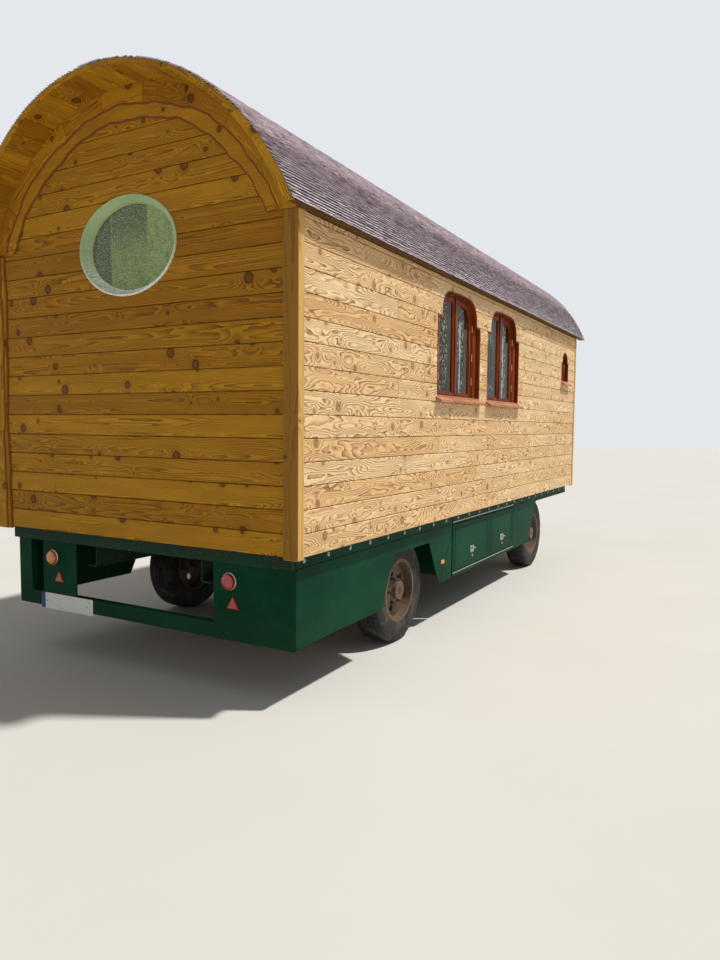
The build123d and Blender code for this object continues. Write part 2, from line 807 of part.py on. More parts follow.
def spring_hangers(centre_x, y, top):
    # Two pairs of cheeks under a rail: a pin through the spring's front eye
    # and a slipper bar over its rear end. Adds to the open part.
    places = (
        (centre_x + leaf_half_span, eye_z, eye_pin_radius),
        (centre_x - leaf_half_span + eye_radius, slipper_z, slipper_radius),
    )
    for x, z, bar in places:
        for inner in (y - spring_inner - cheek_thick, y + spring_inner):
            with BuildSketch(Plane.XZ.offset(-inner - cheek_thick), mode=Mode.PRIVATE) as cheek:
                add(hanger(x, z, top, eye_radius))
            extrude(cheek.sketch, amount=cheek_thick)
        with BuildSketch(Plane.XZ.offset(-y - spring_inner - cheek_thick), mode=Mode.PRIVATE) as pin:
            with Locations((x, z)):
                Circle(bar)
        extrude(pin.sketch, amount=2 * (spring_inner + cheek_thick))


# Main rails: channels under the deck, tapered away before the turntable.
rail_rear = rear + skirt_rear + end_depth
rail_end = turn_x - rail_stop
axle_rear_x = rear + axle_rear
with BuildPart() as main_rails:
    for side in (-1, 1):
        side_view = [
            (rail_rear, rail_bottom), (rail_end - rail_taper, rail_bottom),
            (rail_end, deck_bottom - 2 * rail_plate), (rail_end, deck_bottom),
            (rail_rear, deck_bottom),
        ]
        outer = side * rail_y - rail_width / 2
        with BuildSketch(Plane.XZ.offset(-outer - rail_width)):
            with BuildLine():
                Polyline(*side_view, close=True)
            make_face()
        extrude(amount=rail_width)
        hollow = rail_width - rail_plate
        start = outer if side < 0 else outer + rail_plate
        with BuildSketch(Plane.XZ.offset(-start - hollow)):
            with BuildLine():
                Polyline(
                    (rail_rear, rail_bottom + rail_plate),
                    (rail_end - rail_taper, rail_bottom + rail_plate),
                    (rail_end - 4 * rail_plate, deck_bottom - 2 * rail_plate),
                    (rail_end - 4 * rail_plate, deck_bottom - rail_plate),
                    (rail_rear, deck_bottom - rail_plate), close=True,
                )
            make_face()
        extrude(amount=hollow, mode=Mode.SUBTRACT)
        spring_hangers(axle_rear_x, side * rail_y, rail_bottom)
save(main_rails, "main_rails")


def leaf_springs(centre_x):
    # Both packs of one axle: concentric leaves, the longest on top, rolled to
    # an eye in front. Adds to the open part.
    for side in (-1, 1):
        plane = Plane.XZ.offset(-side * rail_y - leaf_width / 2)
        with BuildSketch(plane, mode=Mode.PRIVATE) as pack:
            for leaf in range(leaf_count):
                upper = leaf_radius + leaf * leaf_thick
                lower = upper + leaf_thick
                half = leaf_half_span * (1 - leaf / (leaf_count + leaf_taper))
                turn = asin(half / upper)
                back = -turn if leaf else -slipper_angle - eye_radius / leaf_radius
                fore = turn if leaf else eye_angle
                corners = [
                    (centre_x + radius * sin(angle), leaf_centre_z - radius * cos(angle))
                    for radius, angle in (
                        (upper, back), (upper, 0), (upper, fore),
                        (lower, fore), (lower, 0), (lower, back),
                    )
                ]
                with BuildLine():
                    ThreePointArc(*corners[:3])
                    Line(corners[2], corners[3])
                    ThreePointArc(*corners[3:])
                    Line(corners[5], corners[0])
                make_face()
            with Locations((centre_x + leaf_half_span, eye_z)):
                Circle(eye_radius)
                Circle(eye_pin_radius + pivot_gap, mode=Mode.SUBTRACT)
        extrude(pack.sketch, amount=leaf_width)


def axle_beam(centre_x):
    # Square beam with turned spindles and a pad under each spring.
    with Locations((centre_x, 0, tyre_radius)):
        Box(axle_box, 2 * axle_box_half, axle_box)
        Cylinder(
            spindle_radius, 2 * (track_half + disc_offset + hub_outer), rotation=(90, 0, 0)
        )
    for side in (-1, 1):
        with Locations((centre_x, side * rail_y, axle_top + leaf_pad / 2)):
            Box(axle_box + pad_margin[0], leaf_width + pad_margin[1], leaf_pad)


with BuildPart() as rear_springs:
    leaf_springs(axle_rear_x)
save(rear_springs, "rear_springs")

with BuildPart() as front_springs:
    leaf_springs(turn_x)
save(front_springs, "front_springs")

with BuildPart() as rear_axle:
    axle_beam(axle_rear_x)
save(rear_axle, "rear_axle")

with BuildPart() as front_axle:
    axle_beam(turn_x)
save(front_axle, "front_axle")

# Wheels: corner, station, side
wheel_table = (
    ("rear_right", axle_rear_x, -1),
    ("rear_left", axle_rear_x, 1),
    ("front_right", turn_x, -1),
    ("front_left", turn_x, 1),
)
bulge = bead_radius + (tyre_radius - bead_radius) * tyre_bulge
tyre_half = [
    (bead_width / 2, bead_radius + fit_gap), (tyre_width / 2, bulge),
    (tyre_width / 2 - shoulder_inset, tyre_radius - shoulder_drop),
    (tread_width / 2, tyre_radius),
]
barrel_inner = bead_radius - rim_plate
rim_half = bead_width / 2 + rim_plate
hub_face = disc_offset + disc_dish
rim_section = [
    (rim_half, bead_radius + rim_lip), (rim_half, barrel_inner),
    (disc_offset, barrel_inner), (hub_face, hub_radius), (disc_offset + hub_outer, hub_radius),
    (disc_offset + hub_outer, spindle_radius + pivot_gap),
    (-hub_inner, spindle_radius + pivot_gap), (-hub_inner, hub_radius),
    (hub_face - disc_plate, hub_radius), (disc_offset - disc_plate, barrel_inner),
    (-rim_half, barrel_inner), (-rim_half, bead_radius),
    (rim_half - rim_flange, bead_radius), (rim_half - rim_flange, bead_radius + rim_lip),
]
for corner, x, side in wheel_table:
    section_plane = wheel_plane(x, side * track_half, side)
    spin_axis = Axis((x, side * track_half, tyre_radius), (0, side, 0))
    with BuildPart() as tyre:
        with BuildSketch(section_plane):
            with BuildLine():
                Polyline(*tyre_half, *[(-u, r) for u, r in reversed(tyre_half)], close=True)
            make_face()
        revolve(axis=spin_axis)
    save(tyre, f"tyre_{corner}")
    with BuildPart() as rim:
        with BuildSketch(section_plane):
            with BuildLine():
                Polyline(*rim_section, close=True)
            make_face()
        revolve(axis=spin_axis)
        disc_plane = Plane(
            origin=(x, side * (track_half - rim_half), tyre_radius),
            x_dir=(side, 0, 0), z_dir=(0, side, 0),
        )
        with BuildSketch(disc_plane):
            with PolarLocations((barrel_inner + hub_radius) / 2, disc_hole_count):
                Circle(disc_hole_radius)
        extrude(amount=2 * rim_half, mode=Mode.SUBTRACT)
    save(rim, f"rim_{corner}")

# Turntable: a flat ring under the deck with its pin, and its twin on the dolly.
with BuildPart() as turntable_ring:
    with BuildSketch(Plane.XY.offset(ring_bottom)):
        with Locations((turn_x, 0)):
            Circle(ring_outer)
            Circle(ring_inner, mode=Mode.SUBTRACT)
            Rectangle(2 * (ring_inner + kingpin_lap), kingpin_plate)
    extrude(amount=ring_upper_height)
    with BuildSketch(Plane.XY.offset(dolly_top - dolly_height)):
        with Locations((turn_x, 0)):
            Circle(kingpin_radius)
    extrude(amount=ring_bottom + ring_upper_height - dolly_top + dolly_height)
save(turntable_ring, "turntable_ring")

# Dolly frame: lower ring, two side members, cross members and drawbar lugs.
dolly_bottom = dolly_top - dolly_height
pivot_x = turn_x + drawbar_pivot_x
lug_span = drawbar_tube / 2 + fit_gap
with BuildPart() as dolly_frame:
    with BuildSketch(Plane.XY.offset(dolly_top)):
        with Locations((turn_x, 0)):
            Circle(ring_outer)
            Circle(ring_inner, mode=Mode.SUBTRACT)
    extrude(amount=ring_bottom - fit_gap - dolly_top)
    with BuildSketch(Plane.XY.offset(dolly_bottom)):
        for side in (-1, 1):
            with Locations((turn_x + (dolly_front - dolly_rear) / 2, side * rail_y)):
                Rectangle(dolly_front + dolly_rear, rail_width)
        for x in dolly_cross:
            with Locations((turn_x + x, 0)):
                Rectangle(rail_width, 2 * rail_y)
        with Locations((turn_x, 0)):
            Rectangle(dolly_cross[1] - dolly_cross[0], kingpin_plate)
            Circle(kingpin_radius + pivot_gap, mode=Mode.SUBTRACT)
    extrude(amount=dolly_height)
    for side in (-1, 1):
        spring_hangers(turn_x, side * rail_y, dolly_bottom)
        for inner in (-lug_span - lug_thick, lug_span):
            y = side * rail_y + inner
            with BuildSketch(Plane.XZ.offset(-y - lug_thick)):
                with BuildLine():
                    Polyline(
                        (pivot_x - lug_radius, drawbar_pivot_z), (pivot_x - lug_radius, dolly_bottom),
                        (turn_x + dolly_front, dolly_bottom), (pivot_x + lug_radius, drawbar_pivot_z),
                        (pivot_x + lug_toe * lug_radius, drawbar_pivot_z - lug_radius),
                        (pivot_x - lug_toe * lug_radius, drawbar_pivot_z - lug_radius), close=True,
                    )
                make_face()
            extrude(amount=lug_thick)
        with BuildSketch(Plane.XZ.offset(-side * rail_y - lug_span - lug_thick)):
            with Locations((pivot_x, drawbar_pivot_z)):
                Circle(drawbar_pin_radius)
        extrude(amount=2 * (lug_span + lug_thick))
save(dolly_frame, "dolly_frame")

# Drawbar: two arms converging on a forged towing eye, lowered to the ground.
slope_plane = Plane(
    origin=(pivot_x, 0, drawbar_pivot_z),
    x_dir=(cos(radians(park_angle)), 0, -sin(radians(park_angle))),
    z_dir=(sin(radians(park_angle)), 0, cos(radians(park_angle))),
)
arm_end = drawbar_reach - drawbar_neck
half_tube = drawbar_tube / 2
tie_x = tie_share * arm_end
neck_half = eye_neck * half_tube
bend_x = lug_radius + drawbar_cheek
with BuildPart() as drawbar:
    with BuildSketch(slope_plane.offset(-half_tube)):
        for side in (-1, 1):
            with BuildLine():
                Polyline(
                    (0, side * (rail_y - half_tube)), (0, side * (rail_y + half_tube)),
                    (bend_x, side * (rail_y + half_tube)),
                    (arm_end, side * half_tube), (arm_end, 0), (arm_end - drawbar_crotch, 0),
                    (bend_x, side * (rail_y - half_tube)), close=True,
                )
            make_face()
        with Locations((tie_x, 0)):
            Rectangle(tie_width, 2 * rail_y * (1 - tie_x / arm_end) + half_tube)
    extrude(amount=drawbar_tube)
    eye_plane = slope_plane.offset(-eye_thick / 2)
    with BuildSketch(eye_plane):
        with Locations((drawbar_reach, 0)):
            Circle(eye_outer)
        with BuildLine():
            Polyline(
                (arm_end - drawbar_tongue, -half_tube), (arm_end, -half_tube),
                (drawbar_reach - eye_outer, -neck_half), (drawbar_reach, -neck_half),
                (drawbar_reach, neck_half), (drawbar_reach - eye_outer, neck_half),
                (arm_end, half_tube), (arm_end - drawbar_tongue, half_tube), close=True,
            )
        make_face()
        with Locations((drawbar_reach, 0)):
            Circle(eye_bore, mode=Mode.SUBTRACT)
    extrude(amount=eye_thick)
    for side in (-1, 1):
        heel_plane = Plane.XZ.offset(-side * rail_y - half_tube)
        with BuildSketch(heel_plane):
            with Locations((pivot_x, drawbar_pivot_z)):
                Circle(half_tube)
        extrude(amount=drawbar_tube)
        with BuildSketch(heel_plane):
            with Locations((pivot_x, drawbar_pivot_z)):
                Circle(drawbar_pin_radius + pivot_gap)
        extrude(amount=drawbar_tube, mode=Mode.SUBTRACT)
save(drawbar, "drawbar")

# Skirts: sheets on the side members, round the rear wheel and the steered one.
with BuildPart() as skirt_right:
    with BuildSketch(side_plane(deck_half)):
        with BuildLine():
            Polyline(
                (skirt_rear, skirt_bottom), (arch_foot[0], skirt_bottom),
                (arch_head[0], arch_top), (arch_head[1], arch_top),
                (arch_foot[1], skirt_bottom), (locker_rear - skirt_gap, skirt_bottom),
                (locker_rear - skirt_gap, cladding_bottom), (skirt_rear, cladding_bottom), close=True,
            )
        make_face()
        with BuildLine():
            Polyline(
                (locker_front + skirt_joint, skirt_bottom),
                (axle_front - steer_back[0], skirt_bottom), (axle_front - steer_back[1], steer_top),
                (cabin_length - chassis_inset, steer_top),
                (cabin_length - chassis_inset, cladding_bottom),
                (locker_front + skirt_joint, cladding_bottom), close=True,
            )
        make_face()
    extrude(amount=skirt_plate)
save(skirt_right, "skirt_right")

# Locker under the right side member: a sheet box with two framed openings.
locker_inner = deck_half - locker_depth
hinge_radius = flap_roll * flap_thick
hinge_y = skirt_face - hinge_radius
flap_top = flap_hinge_z + hinge_radius
flap_bottom = skirt_bottom + locker_sill + swing_gap
opening_table = (
    ("rear", locker_rear + locker_post / 2, locker_split - locker_post / 2),
    ("front", locker_split + locker_post / 2, locker_front - locker_post / 2),
)
with BuildPart() as locker_right:
    with BuildSketch(side_plane(locker_inner)):
        with BuildLine():
            Polyline(
                (locker_rear, skirt_bottom), (locker_front, skirt_bottom),
                (locker_front, deck_bottom), (locker_rear, deck_bottom), close=True,
            )
        make_face()
    extrude(amount=locker_depth)
    with BuildSketch(side_plane(deck_half)):
        with BuildLine():
            Polyline(
                (locker_rear, skirt_bottom), (locker_front, skirt_bottom),
                (locker_front, cladding_bottom), (locker_rear, cladding_bottom), close=True,
            )
        make_face()
    extrude(amount=skirt_plate)
    for label, start, end in opening_table:
        mid_x = (start + end) / 2
        inside = (skirt_bottom + locker_sill, deck_bottom - locker_header)
        with BuildSketch(side_plane(locker_inner + locker_plate)):
            with Locations((mid_x, (skirt_bottom + deck_bottom) / 2)):
                Rectangle(
                    end - start + locker_post - 2 * locker_plate,
                    deck_bottom - skirt_bottom - 2 * locker_plate,
                )
        extrude(amount=locker_depth - locker_plate - flap_thick - locker_clear, mode=Mode.SUBTRACT)
        with BuildSketch(side_plane(locker_inner + locker_plate)):
            with Locations((mid_x, (inside[0] + inside[1]) / 2)):
                Rectangle(end - start, inside[1] - inside[0])
        extrude(amount=locker_depth, mode=Mode.SUBTRACT)
        with BuildSketch(side_plane(hinge_y - flap_thick)):
            with Locations((mid_x, inside[0])):
                Rectangle(
                    end - start, flap_top + swing_gap - inside[0], align=(Align.CENTER, Align.MIN)
                )
        extrude(amount=3 * flap_thick, mode=Mode.SUBTRACT)
        bore_reach = end - start + 2 * (flap_pin_reach - swing_gap + bore_depth)
        bore_start = rear + mid_x - bore_reach / 2
        with BuildSketch(Plane(origin=(bore_start, 0, 0), x_dir=(0, 1, 0), z_dir=(1, 0, 0))):
            with Locations((-hinge_y, flap_hinge_z)):
                Circle(flap_pin_radius + pivot_gap)
        extrude(amount=bore_reach, mode=Mode.SUBTRACT)
save(locker_right, "locker_right")

flaps = {}
for label, start, end in opening_table:
    with BuildPart() as flap:
        width = end - start - 2 * swing_gap
        mid_x = rear + (start + end) / 2
        middle_z = (flap_bottom + flap_hinge_z) / 2
        outside = Plane(origin=(mid_x, -skirt_face, 0), x_dir=(1, 0, 0), z_dir=(0, -1, 0))
        with BuildSketch(outside):
            with Locations((0, middle_z)):
                Rectangle(width, flap_hinge_z - flap_bottom)
        extrude(amount=-flap_thick)
        with BuildSketch(outside.offset(-flap_plate)):
            with Locations((0, middle_z)):
                Rectangle(width - 2 * flap_rim, flap_hinge_z - flap_bottom - 2 * flap_rim)
        extrude(amount=-flap_thick, mode=Mode.SUBTRACT)
        end_plane = Plane(origin=(mid_x - width / 2, 0, 0), x_dir=(0, 1, 0), z_dir=(1, 0, 0))
        with BuildSketch(end_plane):
            with Locations((-hinge_y, flap_hinge_z)):
                Circle(hinge_radius)
        extrude(amount=width)
        with BuildSketch(end_plane.offset(-flap_pin_reach)):
            with Locations((-hinge_y, flap_hinge_z)):
                Circle(flap_pin_radius)
        extrude(amount=width + 2 * flap_pin_reach)
    save(flap, f"flap_right_{label}")
    flaps[label] = flap

# Rear end: posts, lower beam and the panels that carry the lamps.
end_x = rear + skirt_rear
with BuildPart() as rear_end:
    with BuildSketch(Plane.YZ.offset(end_x)):
        for side in (-1, 1):
            with Locations((side * (deck_half - end_post_width / 2), (end_bottom + deck_bottom) / 2)):
                Rectangle(end_post_width, deck_bottom - end_bottom)
        with Locations((0, (end_bottom + end_beam_top) / 2)):
            Rectangle(2 * (deck_half - end_post_width), end_beam_top - end_bottom)
    extrude(amount=end_depth)
    with BuildSketch(Plane.YZ.offset(end_x)):
        for side, (start, end) in zip((1, -1), lamp_panels):
            middle_y = side * (deck_half - (start + end) / 2)
            with Locations((middle_y, (end_beam_top + deck_bottom) / 2)):
                Rectangle(end - start, deck_bottom - end_beam_top)
    extrude(amount=lamp_panel_plate)
save(rear_end, "rear_end")

with BuildPart() as number_plate:
    with BuildSketch(Plane.YZ.offset(end_x - plate_thick)):
        with Locations((deck_half - plate_inset, plate_z)):
            RectangleRounded(*plate_size, plate_round)
    extrude(amount=plate_thick)
save(number_plate, "number_plate")

with BuildPart() as tail_lamps:
    for side, inset, z in zip((1, -1), lamp_insets, lamp_heights):
        place = (side * (deck_half - inset), z)
        with BuildSketch(Plane.YZ.offset(end_x - lamp_depth)):
            with Locations(place):
                Circle(lamp_radius - lamp_taper)
        with BuildSketch(Plane.YZ.offset(end_x)):
            with Locations(place):
                Circle(lamp_radius)
        loft()
save(tail_lamps, "tail_lamps")

with BuildPart() as reflectors:
    for side, inset, z in zip((1, -1), reflector_insets, reflector_heights):
        place = (side * (deck_half - inset), z)
        with BuildSketch(Plane.YZ.offset(end_x - reflector_depth)):
            with Locations(place):
                RegularPolygon(reflector_size, 3, rotation=90)
        extrude(amount=reflector_depth)
    for side in (-1, 1):
        with BuildSketch(side_plane(-side * skirt_face)):
            with Locations((marker_x, marker_z)):
                RectangleRounded(*marker_size, marker_round)
        extrude(amount=-side * marker_depth)
save(reflectors, "reflectors")

# The left side mirrors the right one.
mirrored = {
    "wall_left": wall_right,
    "windows_left": windows_right,
    "glass_left": glass_right,
    "sills_left": sills_right,
    "skirt_left": skirt_right,
    "locker_left": locker_right,
    "flap_left_rear": flaps["rear"],
    "flap_left_front": flaps["front"],
}
for label, source in mirrored.items():
    with BuildPart() as twin:
        mirror(source.part, about=Plane.XZ)
    save(twin, label)

print("length", round(drawbar_tip + rear_verge[1], 1), "rear", round(rear, 3))
print("park angle", round(park_angle, 3), "turntable", round(turn_x, 2), "front", round(front, 2))
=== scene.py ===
import math
import random
from itertools import product

import bmesh
import bpy
from mathutils import Matrix, Vector


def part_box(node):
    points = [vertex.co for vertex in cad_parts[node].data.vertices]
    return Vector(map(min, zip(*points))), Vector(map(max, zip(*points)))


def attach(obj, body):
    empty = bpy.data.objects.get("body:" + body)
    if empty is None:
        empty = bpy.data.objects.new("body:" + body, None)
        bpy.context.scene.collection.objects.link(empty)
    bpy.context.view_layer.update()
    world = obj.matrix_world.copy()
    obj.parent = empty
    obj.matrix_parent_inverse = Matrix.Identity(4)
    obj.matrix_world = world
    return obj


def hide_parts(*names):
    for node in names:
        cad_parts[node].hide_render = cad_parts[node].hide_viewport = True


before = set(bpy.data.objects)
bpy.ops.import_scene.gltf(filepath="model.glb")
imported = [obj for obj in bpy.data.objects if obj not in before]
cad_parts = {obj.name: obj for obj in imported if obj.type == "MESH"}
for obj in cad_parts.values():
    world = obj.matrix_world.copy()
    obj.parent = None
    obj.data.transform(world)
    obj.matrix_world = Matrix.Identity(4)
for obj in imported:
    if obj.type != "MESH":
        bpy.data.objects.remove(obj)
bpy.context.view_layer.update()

luck = random.Random(11)
axisX, axisY, axisZ = Vector((1, 0, 0)), Vector((0, 1, 0)), Vector((0, 0, 1))
hands = {"right": 1, "left": -1}
ends = {"rear": 1, "front": -1}

# Places on the frame, in metres. A station is a distance ahead of the rear posts' face.
postLow, (wallLow, wallHigh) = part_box("post_rear_right")[0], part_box("wall_right")
rear, cabinHalf, postBottom = postLow.x, -postLow.y, postLow.z
front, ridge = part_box("posts_front")[1].x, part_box("roof")[1].z
sideFace, bottom, eave = -wallLow.y, wallLow.z, wallHigh.z
gableRear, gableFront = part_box("wall_rear")[0].x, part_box("wall_front")[1].x
length = front - rear
cabin = {"wall": 0.095, "post": 0.060}
inner = sideFace - cabin["wall"]
barrel = {
    "axis": 2.26742, "soffit": 1.34758, "coverAxis": 2.22413, "deck": 1.4140, "top": 1.43587,
    "rakeRear": (0.130, 0.235), "rakeFront": (0.190, 0.240),
}


def srgb(code):
    # A colour as a picture shows it, in hexadecimal, to the linear colour of a shader.
    parts = (int(code[k:k + 2], 16) / 255 for k in (0, 2, 4))
    return tuple(c / 12.92 if c < 0.04045 else ((c + 0.055) / 1.055) ** 2.4 for c in parts)


def linear(look):
    return {key: srgb(value) if isinstance(value, str) else value for key, value in look.items()}


class Wire:
    # An output of a node that works in sums.
    def __init__(self, skin, socket):
        self.skin, self.socket = skin, socket

    def maths(self, operation, *others):
        return self.skin.node("Math", {"operation": operation}, dict(enumerate((self, *others))))

    def __add__(self, other):
        return self.maths("ADD", other)

    def __mul__(self, other):
        return self.maths("MULTIPLY", other)

    def __sub__(self, other):
        return self.maths("SUBTRACT", other)

    def __rsub__(self, other):
        return self.skin.node("Math", {"operation": "SUBTRACT"}, {0: other, 1: self})

    def __truediv__(self, other):
        return self.maths("DIVIDE", other)

    def __rtruediv__(self, other):
        return self.skin.node("Math", {"operation": "DIVIDE"}, {0: other, 1: self})

    def __pow__(self, other):
        return self.maths("POWER", other)

    __radd__, __rmul__ = __add__, __mul__

    def floor(self):
        return self.maths("FLOOR")

    def part(self):
        return self.maths("FRACT")

    def above(self, low, high, start=0.0, end=1.0):
        # Smooth step from start at low to end at high.
        values = {"Value": self, "From Min": low, "From Max": high, "To Min": start, "To Max": end}
        return self.skin.node("MapRange", {"interpolation_type": "SMOOTHSTEP"}, values)

    def twin(self, name):
        # Another output of the same node.
        return Wire(self.skin, self.socket.node.outputs[name])


class Tree:
    # A node tree; node() adds any node.
    def __init__(self, tree):
        self.tree = tree

    def node(self, kind, settings=None, values=None, output=0):
        made = self.tree.nodes.new("ShaderNode" + kind)
        for name, value in (settings or {}).items():
            setattr(made, name, value)
        for key, value in (values or {}).items():
            self.feed(made.inputs[key], value)
        return Wire(self, made.outputs[output])

    def feed(self, socket, value):
        if isinstance(value, Wire):
            self.tree.links.new(value.socket, socket)
        elif isinstance(value, tuple) and socket.type == "RGBA":
            socket.default_value = (*value[:3], 1)
        else:
            socket.default_value = value


class Skin(Tree):
    # A material with its Principled shader.
    def __init__(self, name, **sockets):
        self.material = bpy.data.materials.new(name)
        self.material.use_nodes = True
        super().__init__(self.material.node_tree)
        self.set(**sockets)

    def set(self, **sockets):
        for name, value in sockets.items():
            self.feed(self.tree.nodes["Principled BSDF"].inputs[name.replace("_", " ")], value)

    def split(self, wire):
        first = self.node("SeparateXYZ", {}, {0: wire})
        return [first.twin(name) for name in "XYZ"]

    def grain(self):
        return self.split(self.node("UVMap", {"uv_map": "grain"}))[:2]

    def place(self):
        return self.split(self.node("TexCoord", output=3))

    def noise(self, x, y, z=0.0, detail=2.0, rough=0.5):
        point = self.node("CombineXYZ", {}, {0: x, 1: y, 2: z})
        values = {"Vector": point, "Scale": 1.0, "Detail": detail, "Roughness": rough}
        return self.node("TexNoise", {}, values)

    def cloud(self, place, scale, detail=2.0, rough=0.5):
        # Noise of one scale in X, Y and Z.
        return self.noise(*(wire * scale for wire in place), detail, rough)

    def chance(self, wire):
        return self.node("TexWhiteNoise", {"noise_dimensions": "1D"}, {"W": wire})

    def blend(self, factor, first, second, mode="MIX"):
        settings = {"data_type": "RGBA", "blend_type": mode}
        return self.node("Mix", settings, {0: factor, 6: first, 7: second}, 2)

    def bump(self, height, distance, strength=0.5):
        values = {"Height": height, "Distance": distance, "Strength": strength}
        self.set(Normal=self.node("Bump", {}, values))


def timber(name, look):
    # Flat sawn softwood: contour lines of the growth rings, bent round knots.
    skin = Skin(name, Specular_IOR_Level=0.2)
    u, v = skin.grain()
    board = v.floor()
    across = v - board
    tone = skin.chance(board + look["seed"])
    slow = skin.noise(u * look["slowU"], across * look["slowV"], board * 1.71, 1.6, 0.42)
    middle = tone * 0.10 + 0.315
    bow = ((across - middle) / 0.065) ** 2
    ripple = skin.noise(u * 15, across * 34, board * 0.9)
    field = slow * look["rings"] + bow * look["bow"] + ripple * look["ripple"]

    cells = skin.node("CombineXYZ", {}, {0: u * 5, 1: across * 5 + board * 3.37})
    spots = skin.node(
        "TexVoronoi", {"voronoi_dimensions": "2D", "feature": "F1"}, {"Vector": cells, "Scale": 1.0})
    rolled = skin.node("SeparateColor", {}, {0: spots.twin("Color")}) - look["clear"]
    size = rolled.maths("MAXIMUM", 0.0) * look["knotSize"] + 0.0006
    wobble = skin.noise(u * 60, across * 60, board, 1.0) - 0.5
    near = (spots / 5 + wobble * 0.006) / size
    swirl = look["swirl"] / (near * near * 0.16 + 1)
    shown = rolled.above(0.0, 0.04)
    phase = (field + swirl * shown).part()
    weight = skin.noise(u * 2.1, across * 18, board * 2.3, 1.0).above(0.3, 0.6, 0.5, 1.0)
    line = phase ** look["lineEdge"] * weight
    core = near.above(0.80, 1.06, 1.0, 0.0) * shown
    rim = near.above(0.72, 0.98) * near.above(1.0, 1.5, 1.0, 0.0) * shown
    halo = near.above(1.0, 3.6, 1.0, 0.0) * shown

    fibre = skin.noise(u * 10, across * 380, board)
    patch = skin.noise(u * 0.8, v * 2.3, 4.0, 3.0, 0.6)
    base = skin.blend(tone * look["toneSpread"] + phase * look["lateWood"], look["pale"], look["deep"])
    for factor, shade in (
        (patch.above(0.35, 0.75, 0.0, look["weather"]), "stain"), (halo * 0.45, "deep"),
        (line * look["lineStrength"], "line"), (core * look["knotStrength"], "knot"),
        (rim * look["rimStrength"], "rim"),
    ):
        base = skin.blend(factor, base, look[shade])
    base = skin.blend(0.8, base, fibre.above(0.2, 0.8, 0.80, 1.14), "MULTIPLY")
    # Painted shade: faces at the very rear of the cabin are darkened, as if out of the light.
    if "rearFace" in look:
        behind = skin.place()[0].above(rear + 0.001, rear + 0.004, 1.0, 0.0)
        base = skin.blend(behind, base, look["rearFace"], "MULTIPLY")
    skin.set(Base_Color=base, Roughness=fibre.above(0.2, 0.8, look["rough"], look["rough"] + 0.16))
    skin.bump(line * 0.7 + fibre * 0.35 + core * 0.5, 0.0012, 0.55)
    return skin.material


def weatheredPaintedLight(name, look):
    # Split shingles, each its own tone; painted light makes the roof lighter towards the ridge, and painted
    # shade darkens the butts lower down.
    skin = Skin(name, Specular_IOR_Level=0.2)
    u, v = skin.grain()
    piece = v.floor()
    # Butt faces: painted shade, strongest low on the roof.
    butt = (v - piece).above(0.76, 0.78)
    tone = skin.chance(piece * 1.37)
    other = skin.chance(piece * 2.91 + 5)
    streak = skin.noise(u * 9, v * 260, piece, 3.0, 0.6)
    split = skin.noise(u * 3, v * 120, piece * 0.7, 1.0).above(0.28, 0.40, 1.0, 0.0)
    base = skin.blend(tone, look["light"], look["grey"])
    base = skin.blend(other.above(0.78, 1.0, 0.0, 0.8), base, look["brown"])
    x, y, z = skin.place()
    # Painted light: streaks, splits, mottle and dark butts fade up the roof as if it lay in sun, with a
    # little painted shade again at the crown.
    shade = z.above(2.80, 3.20, 1.0, 0.3) + z.above(3.56, 3.62, 0.0, 0.6)
    mottle = skin.noise(x * 13, y * 34, z * 34, 3.0, 0.7)
    for factor in (
        streak.above(0.35, 0.75, 0.0, look["streaks"]) * shade,
        split * shade * look["splits"],
        mottle.above(0.46, 0.60, 0.0, look["mottle"]) * shade,
        butt * z.above(2.80, 3.20, look["butt"], 0.0),
    ):
        base = skin.blend(factor, base, look["dark"])
    skin.set(Base_Color=base, Roughness=streak.above(0.2, 0.8, 0.72, 0.92))
    skin.bump(streak * 0.8 - split, 0.002, 0.7)
    return skin.material


def stained(name, look):
    # Red brown joinery stain over close grain, along Z.
    skin = Skin(name, Coat_Roughness=0.3, Specular_IOR_Level=0.10)
    x, y, z = skin.place()
    fibre = skin.noise((x + y) * 260, z * 9, x * 40, 3.0, 0.6)
    band = skin.noise((x - y) * 30, z * 1.7, y * 9)
    base = skin.blend(band.above(0.3, 0.7), look["light"], look["deep"])
    base = skin.blend(fibre.above(0.45, 0.75, 0.0, 0.5), base, look["dark"])
    gloss = fibre.above(0.3, 0.7, 0.05, 0.01)
    skin.set(Base_Color=base, Roughness=band.above(0.3, 0.7, 0.34, 0.52), Coat_Weight=gloss)
    skin.bump(fibre, 0.0006, 0.4)
    return skin.material


def painted(name, look):
    # Brushed paint on steel: sags, dust low down (on the oval's ring a painted light instead), chips that
    # show rust.
    look = {**plainPaint, **look}
    skin = Skin(name, Specular_IOR_Level=look["sheen"])
    place = x, y, z = skin.place()
    cloud = skin.noise(x * 1.6, y * 1.6, z * 2.4, 4.0, 0.6)
    brush = skin.noise(x * 14, y * 14, z * 190)
    grit = skin.cloud(place, 55, 3.0, 0.65)
    # Dust low down; with the ring's look this whitening is painted light on the lower reveal.
    dust = z.above(look["dustLow"], look["dustHigh"], 1.0, 0.0) * grit.above(0.3, 0.6) * look["dust"]
    chip = grit.above(look["chips"], look["chips"] + 0.025)
    ring = grit.above(look["chips"] - 0.03, look["chips"])
    base = skin.blend(cloud.above(0.3, 0.7), look["deep"], look["light"])
    base = skin.blend(brush.above(0.35, 0.8, 0.0, 0.30), base, look["worn"])
    for factor, shade in ((dust, "soil"), (ring * 0.35, "worn"), (chip, "rust")):
        base = skin.blend(factor, base, look[shade])
    rough = brush.above(0.2, 0.8, look["rough"], look["rough"] + 0.18)
    skin.set(Base_Color=base, Roughness=(rough + dust * 0.3 + chip * 0.3).maths("MINIMUM", 1.0))
    skin.bump(brush * 0.2 + cloud * 0.8 - chip * 0.5, 0.0016, 0.4)
    return skin.material


